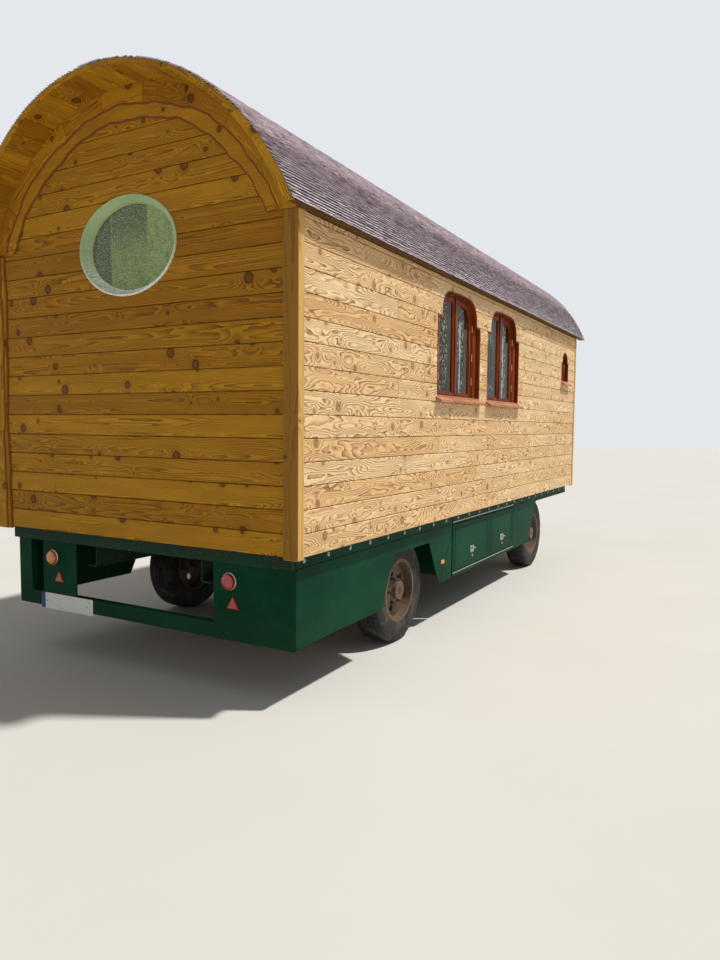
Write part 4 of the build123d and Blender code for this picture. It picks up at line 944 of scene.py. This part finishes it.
eaveTurn = math.acos((eave - barrel["coverAxis"]) / barrel["top"])
innerTurn = math.acos((eave + 0.004 - barrel["axis"]) / barrel["soffit"])
made = Shape()
low = barrel["soffit"] + 0.0004
lip, high = low + 0.002, low + soffit["thick"]
for k in range(soffit["count"]):
    a0, a1 = portion(innerTurn, soffit, k)
    corners = (a0 + 0.002, low), (a1 - 0.002, low), (a1, lip), (a1, high), (a0, high), (a0, lip)
    middle = (a0 + a1) / 2
    raked(made, [soffitPoint(*corner) for corner in corners], soffit["inset"],
          Vector((0, math.cos(middle), math.sin(middle))))
made.settle("soffit_boards", woods["gable"], "larch", "roof")

made = Shape()
turn = eaveTurn * 0.998
angles = [-turn + 2 * turn * k / 60 for k in range(61)]
section = [roofPoint(a, barrel["deck"]) for a in angles]
section += [soffitPoint(a, barrel["soffit"] + soffit["thick"] + 0.002) for a in reversed(angles)]
raked(made, [(y, max(z, eave + 0.003)) for y, z in section], soffit["underlay"], axisZ)
made.settle("roof_underlay", finishes["underlay"], "shingles")

low, high, nudge = barge["low"], barge["high"], barge["nudge"]
lowerTurn = math.acos((eave - barrel["axis"]) / low)
for end, way in ends.items():
    made = Shape()
    for piece in range(barge["count"]):
        a0, a1 = portion(turn, barge, piece)
        rings = []
        for step in range(13):
            a = a0 + (a1 - a0) * step / 12
            under = a * lowerTurn / turn
            corners = (
                (soffitPoint(under, low), nudge), (soffitPoint(under, low + nudge), 0.0),
                (roofPoint(a, high - nudge), 0.0), (roofPoint(a, high), nudge),
                (roofPoint(a, high), barge["thick"]), (soffitPoint(under, low), barge["thick"]),
            )
            ring = [(depth, y, max(z, eave + 0.0005)) for (y, z), depth in corners]
            rings.append([(rake(z, end) + way * depth, y, z) for depth, y, z in ring])
        middle = (a0 + a1) / 2
        along, across = (Vector((0, y, z)) for y, z in (
            (math.cos(middle), math.sin(middle)), (-math.sin(middle), math.cos(middle))))
        made.tube(rings, along, across)
    made.settle(f"bargeboards_{end}", woods["gable"], "larch")

# Plank under each eave, between the soffit boards and the lowest shingles, stained dark as painted shade.
eaveBoard = {"inner": 1.2798, "outer": 1.3280, "back": 1.3160, "low": 0.0006, "rise": 0.019, "inset": 0.0245}
made = Shape()
z0, z1 = eave + eaveBoard["low"], eave + eaveBoard["rise"]
for sign in (-1, 1):
    corners = ("inner", z0), ("outer", z0), ("back", z1), ("inner", z1)
    raked(made, [(sign * eaveBoard[y], z) for y, z in corners], eaveBoard["inset"], axisY)
made.settle("eave_boards", woods["eave"], "larch")


def shingleRow(made, sign, lowTurn, exposure, sink):
    # One course: each shingle a wedge, thick at its ragged butt, whose end grain the finish paints dark as
    # painted shade.
    top, under = barrel["top"], barrel["deck"] + 0.0015
    z = roofPoint(lowTurn, top)[1]
    first, last = rake(z, "rear") + 0.002, rake(z, "front") - 0.002
    x = first - luck.uniform(0, 0.03)
    while x < last - 0.010:
        width = luck.uniform(shingles["narrow"], shingles["wide"])
        left, right = max(x, first), min(x + width - shingles["gap"] * luck.uniform(0.4, 1.8), last)
        x += width
        if right - left < 0.009:
            continue
        butt = min(lowTurn - luck.uniform(-0.2, 1.0) * shingles["ragged"] / top, eaveTurn - 0.0004)
        head = lowTurn - (exposure + shingles["lap"]) / top
        high = top - luck.uniform(0, shingles["lift"]) - sink
        skew = luck.uniform(-1, 1) * shingles["skew"] / top
        corner = luck.uniform(0, shingles["corner"]) / top
        middle = left + (right - left) * luck.uniform(0.3, 0.7)
        foot = (left, butt - skew - corner), (middle, butt), (right, butt + skew)
        spots = [(*spot, high) for spot in foot] + [(right, head, under), (left, head, under)]
        spots += [(*spot, high - shingles["thick"]) for spot in foot]
        points = [(px, *roofPoint(sign * angle, radius)) for px, angle, radius in spots]
        (y0, z0), (y1, z1) = roofPoint(sign * butt, 1.0), roofPoint(sign * head, 1.0)
        faces = [[0, 1, 2, 3, 4], [0, 5, 6, 1], [1, 6, 7, 2], [2, 7, 3], [0, 4, 5]]
        skins = made.skinOver(points, faces, Vector((0, y1 - y0, z1 - z0)).normalized(), axisX)
        for loop in [loop for face in skins[1:3] for loop in face.loops]:
            loop[made.uvs].uv.y += 0.5  # the finish finds the butts by this, to paint shade on them


exposure = (eaveTurn * barrel["top"] - 0.03) / shingles["courses"]
for side, sign in hands.items():
    made = Shape()
    for order in range(shingles["courses"]):
        lowTurn = eaveTurn - order * exposure / barrel["top"]
        shingleRow(made, sign, lowTurn, exposure, shingles["sink"] if order else 0.0)
    shingleRow(made, sign, eaveTurn - 0.010 / barrel["top"], exposure, shingles["sink"])
    made.settle(f"shingles_{side}", finishes["shingle"], "shingles")

made = Shape()
x, last = rake(ridge, "rear") + 0.003, rake(ridge, "front")
while x < last - 0.05:
    for sign in (-1, 1):
        wide, lift = luck.uniform(0.080, 0.110), luck.uniform(0.0, 0.0015)
        top = barrel["top"] - 0.0004 - lift
        a0, a1 = -0.004 * sign / barrel["top"], sign * wide / barrel["top"]
        end = min(x + shingles["ridgeStep"] + 0.03, last - 0.003)
        rings = []
        for px, reach in ((x + luck.uniform(0, 0.004), top), (end, top - 0.006)):
            corners = (a0, reach), (a1, reach), (a1, reach - 0.006), (a0, reach - 0.006)
            rings.append([(px, *roofPoint(*corner)) for corner in corners])
        made.tube(rings, axisX, axisY)
    x += shingles["ridgeStep"]
made.settle("ridge_shingles", finishes["shingle"], "shingles")
print("stage: roof laid")

# Oval window: splayed ring with a bead, and its pane
profile = (
    (0.0003, 0.095), (0.0003, 0.0), (0.004, -0.006), (0.012, -0.0075), (0.017, -0.004), (0.020, 0.002),
    (0.034, 0.018), (0.049, 0.036), (0.052, 0.041), (0.0555, 0.0395), (0.058, 0.044), (0.0605, 0.0425),
    (0.063, 0.048), (0.063, 0.060), (0.045, 0.062), (0.045, 0.095),
)
made, rings = Shape(), []
flat = oval["flat"]  # the ring is narrower above and below than at its sides
for inset, depth in profile:
    squeeze = flat + (1 - flat) * max(0, 1 - inset / oval["splay"])
    edge = ellipse(oval["a"] - inset, oval["b"] - inset * squeeze, 128)
    rings.append([(x, depth, z) for x, z in edge])
made.tube(rings, closed=True)
made.settle("oval_surround", finishes["ring"], "ring_paint", "oval_ring", wall="rear", smooth=True)
made, rings = Shape(), []
a, b = oval["a"] - oval["pane"], oval["b"] - oval["pane"] * flat
for size, depth in ((1.0, 0.0575), (1.0, 0.0500), (0.97, 0.0492), (0.7, 0.0486), (0.35, 0.0482)):
    rings.append([(x, depth, z) for x, z in ellipse(a * size, b * size, 96)])
made.tube(rings)
made.settle("oval_pane", finishes["ovalPane"], "oval_glass", "oval_glass", wall="rear", smooth=True)

# Side windows: casing, frame, sashes with beads, panes and planked sills
setback, depth, face, rail = (joinery[key] for key in ("setback", "depth", "face", "rail"))
fall, proudest = joinery["sillFall"], joinery["sillProud"]
clear, cover, pin, knuckle = (joinery[key] for key in ("clear", "cover", "pin", "knuckle"))
edge, joint, step = (joinery[key] for key in ("edge", "joint", "step"))
firstHinge, secondHinge, thirdHinge = joinery["hinges"]
back, thick = setback + joinery["sashBack"], depth - joinery["sashBack"]
stile, beadWide = face + joinery["stile"], joinery["bead"]
for side, sign in hands.items():
    frames, glass, sills, hinges = Shape(), Shape(), Shape(), Shape()
    for station, sashes, window in windows:
        half, foot, shoulder, arch, spring, haunch, crown = window
        centre, gap, low = sign * station, 0.0004, foot + joinery["foot"]
        outer = windowOutline(window, gap, foot + gap, True)
        casing = frameOutline(outer, windowOutline(window, joinery["casing"], foot + gap, True))
        frames.plate([shift(casing, centre)], 0.0015, setback - 0.0015)
        opening = windowOutline(window, face, low)
        frames.plate([shift(outer, centre), shift(opening, centre)], setback, depth, 0.002)
        leaf = [
            windowOutline(window, face + clear, low + clear),
            windowOutline(window, stile - beadWide, low + rail - beadWide),
            windowOutline(window, stile, low + rail),
        ]
        leaves = [leaf]
        if sashes == 2:
            for hand in (-1, 1):  # a board on the step beside the arch
                x0, x1 = sorted((centre + hand * (arch - step[0]), centre + hand * (half - step[1])))
                frames.block((x0, setback - 0.007, foot + 0.001), (x1, setback + 0.002, shoulder - 0.012),
                             axisZ, axisX, edge)
            post = joinery["meeting"] / 2
            limits = (-0.001, -post + beadWide, -post)
            leaf = [clip(points, limit) for points, limit in zip(leaf, limits)]
            leaves = [leaf, [[(-x, z) for x, z in reversed(points)] for points in leaf]]
        for leaf in leaves:
            rim, bead, pane = (shift(points, centre) for points in leaf)
            frames.plate([rim, bead], back, thick, 0.0025)
            frames.plate([bead, pane], back + 0.004, thick - 0.006, edge)
            glass.plate([pane], back + joinery["pane"], joinery["pane"], 0.0005, 0, axisX, axisZ)
        if sashes == 2:
            frames.block((centre - cover, back - 0.010, foot + face + 0.004),
                         (centre + cover, back + 0.002, crown - face - 0.006), axisZ, axisX, edge)
        for z in (foot + firstHinge, (foot + spring) / 2 + secondHinge, spring - thirdHinge):
            for hand in (-1, 1)[2 - sashes:]:
                x = centre + hand * (arch - face)
                hinges.rod((x, back - pin, z - knuckle), (x, back - pin, z + knuckle), pin, 12)
        # Sill: a tongue under the frame, then short planks that lap forwards
        seat = foot - joinery["sillRise"]
        sills.block((centre - half + 0.001, 0.002, seat + 0.0005),
                    (centre + half - 0.001, setback + depth, foot - 0.001), axisX, axisY)
        planks = joinery["planks"] if sashes == 2 else 2
        reach = half + joinery["horn"]
        high = foot - fall / (proudest + setback) * setback
        for k in range(planks):
            x0 = centre - reach + 2 * reach * k / planks + joint
            x1 = centre - reach + 2 * reach * (k + 1) / planks - joint
            proud, sag = proudest - luck.uniform(0.0, 0.005), luck.uniform(0.0, 0.003)
            lip, under = foot - fall - sag, foot - fall - joinery["sillNose"] + 0.002
            sills.bar([
                (-0.0002, high - sag * 0.3), (-proud + 0.003, lip), (-proud, lip - 0.003),
                (-proud, under + 0.002), (-proud + 0.002, under), (-0.0002, seat + 0.001),
            ], x0, x1)
            sills.bar([
                (0.0378, foot + 0.0005), (0.0378, foot - 0.006),
                (-0.0002, high - 0.005), (-0.0002, high + 0.0008),
            ], max(x0 + 0.001, centre - half + 0.002), min(x1 - 0.001, centre + half - 0.002))
    frames.settle(f"window_joinery_{side}", finishes["joinery"], "stained_wood", f"windows_{side}",
                  wall=side, smooth=True)
    glass.settle(f"window_panes_{side}", finishes["pane"], "glass", f"glass_{side}", wall=side)
    sills.settle(f"window_sills_{side}", woods["sill"], "stained_wood", f"sills_{side}", wall=side)
    hinges.settle(f"window_hinges_{side}", finishes["brass"], "handle_metal", wall=side, smooth=True)
print("stage: windows fitted")

# Entrance: frame, planked leaf with an arched light, and its ironwork
doorLook = {"face": 0.045, "proud": 0.012, "thick": 0.044, "gap": 0.006, "rail": 0.095, "planks": 5,
            "light": 0.56, "bead": 0.012, "leafDepth": 0.006, "beadDepth": 0.001, "plankDepth": 0.008,
            "paneDepth": 0.020, "hinges": (0.14, 0.53, 0.887)}
hinge = {"proud": 0.0093, "knuckle": 0.009, "tip": 0.006, "wing": (0.009, 0.004)}
doorHeight, proud = door["spring"] - door["floor"], doorLook["proud"]
light = door["floor"] + doorLook["light"] * doorHeight
made = Shape()
jambs = frameOutline(doorArch(0.0004, door["floor"]), doorArch(doorLook["face"], door["floor"]))
made.plate([jambs], -proud, cabin["wall"] + proud, 0.004, 2)
made.settle("entrance_frame", finishes["joinery"], "stained_wood", "door_frame", wall="front", smooth=True)

made, pane = Shape(), Shape()
inset = doorLook["face"] + doorLook["gap"]
window = doorArch(inset + doorLook["rail"], light)
bead = doorArch(inset + doorLook["rail"] + doorLook["bead"], light + doorLook["bead"])
made.plate([doorArch(inset, door["floor"] + doorLook["gap"]), window], -proud + doorLook["leafDepth"],
           doorLook["thick"] - 0.012, 0.002)
made.plate([window, bead], -proud + doorLook["beadDepth"], 0.042, 0.004, 2)
leafHalf = door["half"] - inset
wide = (2 * leafHalf - 0.004) / doorLook["planks"]
for k in range(doorLook["planks"]):
    x0 = -leafHalf + 0.002 + k * wide
    made.block((x0 + joint, -proud + doorLook["beadDepth"], door["floor"] + 0.010),
               (x0 + wide - joint, -proud + doorLook["plankDepth"], light - 0.002), axisZ, axisX, edge)
pane.plate([window], -proud + doorLook["paneDepth"], 0.010, 0.0005, 0, axisX, axisZ)
made.settle("entrance_leaf", finishes["joinery"], "stained_wood", "door_leaf",
            body="door", wall="front", smooth=True)
pane.settle("entrance_pane", finishes["pane"], "glass", "door_glass", body="door", wall="front")

hingeX, hingeY = gableFront + proud + hinge["proud"], door["half"] - doorLook["face"]
onFrame, onLeaf = Shape(), Shape()
hingeTable = (  # heights of the knuckle and of the pin's tip, then the wing's Y and heights
    (onFrame, (-0.035, -0.0004), (-0.043, -0.035), (0.002, 0.022), (-0.033, -0.002)),
    (onLeaf, (0.0004, 0.035), (0.035, 0.043), (-0.052, -0.004), (0.002, 0.033)),
)
for rise in doorLook["hinges"]:
    z = door["floor"] + rise * doorHeight
    for made, knuckle, tip, wing, height in hingeTable:
        for (low, high), radius, count in ((knuckle, hinge["knuckle"], 20), (tip, hinge["tip"], 16)):
            made.rod((hingeX, hingeY, z + low), (hingeX, hingeY, z + high), radius, count)
        made.block((hingeX - hinge["wing"][0], hingeY + wing[0], z + height[0]),
                   (hingeX - hinge["wing"][1], hingeY + wing[1], z + height[1]), axisZ, axisY, 0.001)
onFrame.settle("entrance_hinge_pins", finishes["brass"], "handle_metal", smooth=True)
onLeaf.settle("entrance_hinge_leaves", finishes["brass"], "handle_metal", body="door", smooth=True)
print("stage: entrance hung")

# Chassis: stations and heights of what lies along the sides
chassis = {
    "face": -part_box("skirt_right")[0].y, "bolts": (0.180, 0.120, 0.260, 0.845),
    "lips": (((0.102, 1.128), (2.122, 2.383), (4.067, 4.588)), 0.004, (0.3555, 0.3655)),
    "rails": (((0.102, 2.383), (4.067, 6.228)), 0.005, (0.798, 0.806)),
    "crease": ((2.150, 0.370), (2.385, 0.720)), "lockers": (2.410, 4.060), "nut": 0.009, "washer": 0.014,
}
latch = {"half": 0.045, "plate": (0.500, 0.560), "posts": 0.028, "grip": 0.036, "reach": 0.018, "z": 0.538,
         "lock": 0.470}
swage = {"inset": 0.030, "side": 0.018, "top": 0.012, "wide": 0.006}
marker = {"x": 2.180, "z": 0.520, "half": 0.0315, "halfHigh": 0.0165, "proud": 0.0115}
skirtFace = chassis["face"]


def sideBlock(made, sign, xs, ys, zs, edge):
    # A block on one side's face; ys count outwards from the face.
    low, high = sorted(sign * (skirtFace + y) for y in ys)
    made.block((xs[0], low, zs[0]), (xs[1], high, zs[1]), edge=edge)


def spot(sign, x, y, z):
    # A place on one side's face; y counts outwards from the face.
    return x, sign * (skirtFace + y), z


for side, hand in hands.items():
    sign = -hand  # the right side lies at -Y
    # Bolts and washers along the side member, rolled lips and a crease
    made = Shape()
    start, stop, step, z = chassis["bolts"]
    x = rear + start
    while x < front - stop:
        made.rod(spot(sign, x, -0.001, z), spot(sign, x, 0.006, z), chassis["nut"], 6)
        made.rod(spot(sign, x, -0.001, z), spot(sign, x, 0.0015, z), chassis["washer"], 16, 0.0005)
        x += step
    made.settle(f"side_bolts_{side}", finishes["steel"], "handle_metal")
    made = Shape()
    for runs, proud, zs in (chassis["lips"], chassis["rails"]):
        for x0, x1 in runs:
            sideBlock(made, sign, (rear + x0, rear + x1), (-0.001, proud), zs, 0.0015)
    section = ((-0.007, 0), (0, 0.0035), (0.007, 0), (0, -0.002))
    made.tube([[spot(sign, rear + px + dx, dy, pz) for dx, dy in section] for px, pz in chassis["crease"]])
    made.settle(f"skirt_lips_{side}", finishes["green"], "green_paint")
    # Edging of the locker, then a latch and swages on each flap
    made = Shape()
    start, end = (rear + station for station in chassis["lockers"])
    for zs in ((0.380, 0.388), (0.812, 0.820)):
        sideBlock(made, sign, (start + 0.004, end - 0.004), (-0.001, 0.003), zs, 0.001)
    made.settle(f"locker_edging_{side}", finishes["steel"], "handle_metal")
    for label in ("rear", "front"):
        node = f"flap_{side}_{label}"
        lowBox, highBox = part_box(node)
        middle, z = (lowBox.x + highBox.x) / 2, latch["z"]
        made = Shape()
        start, end = middle - latch["half"], middle + latch["half"]
        sideBlock(made, sign, (start, end), (0, 0.0035), latch["plate"], 0.0012)
        for x in (middle - latch["posts"], middle + latch["posts"]):
            made.rod(spot(sign, x, 0.003, z), spot(sign, x, 0.016, z), 0.005, 10)
        start, end = (spot(sign, middle + way * latch["grip"], latch["reach"], z) for way in (-1, 1))
        made.rod(start, end, 0.006, 14)
        z = latch["lock"]
        made.rod(spot(sign, middle, 0, z), spot(sign, middle, 0.007, z), 0.012, 18)
        made.settle(f"flap_latch_{side}_{label}", finishes["steel"], "handle_metal", body=node, smooth=True)
        made = Shape()
        inset, wide = swage["inset"], swage["wide"]
        x0, x1 = lowBox.x + swage["side"] + inset, highBox.x - swage["side"] - inset
        z0, z1 = lowBox.z + inset, highBox.z - inset - swage["top"]
        for xs, zs in (((x0, x1), (z0, z0 + wide)), ((x0, x1), (z1 - wide, z1)),
                       ((x0, x0 + wide), (z0, z1)), ((x1 - wide, x1), (z0, z1))):
            sideBlock(made, sign, xs, (-0.001, 0.0022), zs, 0.001)
        made.settle(f"flap_swage_{side}_{label}", finishes["green"], "green_paint", body=node)

# Rear end: bezels, lenses, reflectors, plate screws
rearEnd = {
    "face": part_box("rear_end")[0].x, "lamps": {"red": (-0.726, 0.691), "amber": (0.829, 0.685)},
    "triangles": ((0.772, 0.546), (-0.750, 0.553)), "size": 0.056, "screws": 0.20,
    "bezel": ((0.047, 0.0), (0.052, 0.0), (0.053, 0.010), (0.049, 0.013), (0.046, 0.010)),
    "lens": ((0.046, 0.001), (0.0455, 0.020), (0.043, 0.028), (0.036, 0.0325), (0.024, 0.0338),
             (0.008, 0.0340)),
}


def turned(place, profile):
    # Rings round an axis on X, each at a reach and a depth from the rear face.
    face = rearEnd["face"]
    return [[(face - depth, *around(*place, reach, t)) for t in turns(40)] for reach, depth in profile]


made = Shape()
for label, place in rearEnd["lamps"].items():
    made.tube(turned(place, rearEnd["bezel"]), closed=True)
    cover = Shape()
    cover.tube(turned(place, rearEnd["lens"]))
    cover.settle(f"tail_lens_{label}", finishes[label], "lamp_red", "tail_lamps", smooth=True)
made.settle("lamp_bezels", finishes["steel"], "handle_metal", smooth=True)

rims, prisms = Shape(), Shape()
for y, z in rearEnd["triangles"]:
    for made, drawn, low, high in ((rims, 0.001, 0.0002, 0.0060), (prisms, 0.011, 0.0060, 0.0086)):
        size = rearEnd["size"] - drawn
        corners = [(size * math.sin(t), size * math.cos(t)) for t in turns(3)]
        made.tube([
            [(rearEnd["face"] - depth, y + dy * part, z + dz * part) for dy, dz in corners]
            for depth, part in ((low, 1.0), (high - 0.001, 1.0), (high, 0.96))
        ])
prisms.settle("reflector_prisms", finishes["red"], "reflector_red", "reflectors")
rims.settle("reflector_rims", finishes["reflector"], "reflector_red")
made = Shape()
x, z, half, halfHigh = rear + marker["x"], marker["z"], marker["half"], marker["halfHigh"]
for sign in (-1, 1):
    sideBlock(made, sign, (x - half, x + half), (0, marker["proud"]), (z - halfHigh, z + halfHigh), 0.004)
made.settle("side_markers", finishes["amber"], "reflector_red", "reflectors")

made = Shape()
plateLow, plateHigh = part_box("number_plate")
for sign in (-1, 1):
    place = (plateLow.y + plateHigh.y) / 2 + sign * rearEnd["screws"], (plateLow.z + plateHigh.z) / 2
    made.rod((plateLow.x - 0.003, *place), (plateLow.x + 0.001, *place), 0.006, 14, 0.001)
made.settle("plate_screws", finishes["steel"], "handle_metal", smooth=True)
print("stage: chassis dressed")

# Wheels: moulded tyres with tread blocks, and nuts
tyre = {"pitches": 56, "groove": 0.008, "twist": 0.010, "tread": 0.3782, "shoulder": 0.09}
nuts = {"count": 6, "circle": 0.104, "seat": 0.044, "high": 0.028, "radius": 0.013, "stud": 0.007}
profile = [
    (0.090, 0.2225), (0.094, 0.229), (0.0985, 0.240), (0.1040, 0.262), (0.1070, 0.290), (0.1066, 0.318),
    (0.1045, 0.340), (0.1010, 0.3585), (0.0965, 0.3700), (0.0880, 0.3790), (0.0640, 0.3832),
    (0.0600, 0.3836), (0.0585, 0.3760), (0.0515, 0.3760), (0.0500, 0.3842), (0.0220, 0.3848),
    (0.0205, 0.3765), (0.0135, 0.3765), (0.0120, 0.3850),
]
profile += [(-u, r) for u, r in reversed(profile)]
steps = tyre["pitches"] * 4
for end, (side, hand) in product(ends, hands.items()):
    corner, sign = f"{end}_{side}", -hand  # the right side lies at -Y
    low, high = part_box(f"tyre_{corner}")
    centre = (low + high) / 2
    made, rings = Shape(), []
    for k in range(steps):
        ring = []
        for u, r in profile:
            twist = 2 * math.pi * k / steps
            if r > tyre["tread"]:
                twist += tyre["twist"] * (abs(u) / tyre["shoulder"])
                if (k + (2 if u < 0 else 0)) % 4 == 0:
                    r -= tyre["groove"] * 0.8
            x, z = around(centre.x, centre.z, r, twist)
            ring.append((x, centre.y + u * sign, z))
        rings.append(ring)
    made.tube(rings, closed=True)
    body = f"wheel_{corner}"
    made.settle(f"tyre_moulded_{corner}", finishes["rubber"], "tyre", f"tyre_{corner}",
                body=body, smooth=True)
    made = Shape()
    for t in turns(nuts["count"]):
        x, z = around(centre.x, centre.z, nuts["circle"], t)
        y = centre.y + sign * nuts["seat"]
        made.rod((x, y, z), (x, y + sign * nuts["high"], z), nuts["radius"], 6, 0.002)
        made.rod((x, y + sign * 0.020, z), (x, y + sign * 0.040, z), nuts["stud"], 12)
    made.settle(f"wheel_nuts_{corner}", finishes["axle"], "axle_paint", body=body)
print("stage: wheels shod")

# Materials of the CAD nodes that stay
kept = {
    "green": ("skirt_right", "skirt_left", "locker_right", "locker_left", "rear_end", "flap_right_rear",
              "flap_right_front", "flap_left_rear", "flap_left_front"),
    "underframe": ("deck_frame", "main_rails", "turntable_ring", "dolly_frame", "drawbar"),
    "axle": ("rear_axle", "front_axle"),
    "spring": ("rear_springs", "front_springs"),
    "rim": ("rim_rear_right", "rim_rear_left", "rim_front_right", "rim_front_left"),
    "brass": ("door_handle",),
    "plate": ("number_plate",),
}

# Blank number plate: reflective sheet with a plain blue band
skin = Skin("plate_sheet", Specular_IOR_Level=0.5)
place = x, y, z = skin.place()
grime = skin.noise(x * 20, y * 20, z * 40, 4.0, 0.6)
base = skin.blend(grime.above(0.45, 0.75, 0.0, 0.22), srgb("e8e9e4"), srgb("969282"))
base = skin.blend(y.above(plateHigh.y - 0.0425, plateHigh.y - 0.0415), base, srgb("1c3e8c"))
skin.set(Base_Color=base, Roughness=grime.above(0.3, 0.7, 0.28, 0.55))
skin.bump(skin.cloud(place, 900, 0.0), 0.0002, 0.3)
finishes["plate"] = skin.material
for key, nodes in kept.items():
    for node in nodes:
        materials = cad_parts[node].data.materials
        materials.clear()
        materials.append(finishes[key])

# Floor of planks, seen through the glass and at the doorway
made = Shape()
low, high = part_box("floor")
y = low.y
while y < high.y - 0.02:
    wide = min(0.140, high.y - y)
    made.block((low.x, y + 0.0006, low.z), (high.x, y + wide - 0.0006, high.z), axisX, axisY)
    y += wide
made.settle("floor_planks", woods["lining"], "floor_wood", "floor")

# Floor, light and camera
studio = {
    "floor": ("d4d2cc", "cccac4"), "sun": 3.5, "soft": 3.0, "sunColour": (1.0, 0.975, 0.94),
    "sunWay": (-0.36, 0.66, -1.38), "world": 0.32, "sky": (0.96, 0.98, 1.0, 1), "back": "e4e8ec",
    "lens": 27.18, "eye": (-3.1996, -3.4473, 1.603), "turns": (29.278, -4.2005, 0.4725),
}


def link(name, data):
    thing = bpy.data.objects.new(name, data)
    bpy.context.scene.collection.objects.link(thing)
    return thing


ground = bpy.data.meshes.new("studio_floor")
ground.from_pydata([(-60, -60, 0), (60, -60, 0), (60, 60, 0), (-60, 60, 0)], [], [(0, 1, 2, 3)])
skin = Skin("studio_floor", Roughness=0.9, Specular_IOR_Level=0.1)
x, y, z = skin.place()
skin.set(Base_Color=skin.blend(skin.noise(x * 0.7, y * 0.7, 0.0, 3.0), *(srgb(c) for c in studio["floor"])))
ground.materials.append(skin.material)
link("studio_floor", ground)

sun = bpy.data.lights.new("key", "SUN")
sun.energy, sun.angle, sun.color = studio["sun"], math.radians(studio["soft"]), studio["sunColour"]
sunWay = Vector(studio["sunWay"]).normalized()
link("key", sun).rotation_euler = sunWay.to_track_quat("-Z", "Y").to_euler()

world = bpy.data.worlds.new("studio")
bpy.context.scene.world = world
world.use_nodes = True
sky = Tree(world.node_tree)
glow = world.node_tree.nodes["Background"]
glow.inputs["Color"].default_value = studio["sky"]
glow.inputs["Strength"].default_value = studio["world"]
seen = sky.node("Background", {}, {"Color": srgb(studio["back"]), "Strength": 1.0})
rays = sky.node("LightPath")
shown = rays.twin("Is Camera Ray")
for ray in ("Is Glossy Ray", "Is Transmission Ray"):
    shown = shown.maths("MAXIMUM", rays.twin(ray))
choice = sky.node("MixShader", {}, {0: shown, 1: Wire(sky, glow.outputs[0]), 2: seen})
sky.feed(world.node_tree.nodes["World Output"].inputs["Surface"], choice)

camera = bpy.data.cameras.new("photo_view")
camera.lens, camera.sensor_width, camera.sensor_fit = studio["lens"], 36.0, "AUTO"
camera.clip_start, camera.clip_end = 0.05, 200
yaw, pitch, roll = (math.radians(a) for a in studio["turns"])
forward = Vector((math.cos(pitch) * math.cos(yaw), math.cos(pitch) * math.sin(yaw), math.sin(pitch)))
level = Vector((math.sin(yaw), -math.cos(yaw), 0))
upward = level.cross(forward)
right = level * math.cos(roll) + upward * math.sin(roll)
over = upward * math.cos(roll) - level * math.sin(roll)
turnTo = Matrix((right, over, -forward)).transposed().to_4x4()
x, y, z = studio["eye"]
viewer = link("photo_view", camera)
viewer.matrix_world = Matrix.Translation((rear + x, y, z)) @ turnTo
bpy.context.scene.camera = viewer
bpy.context.scene.view_settings.view_transform = "Standard"

print("stage: done")
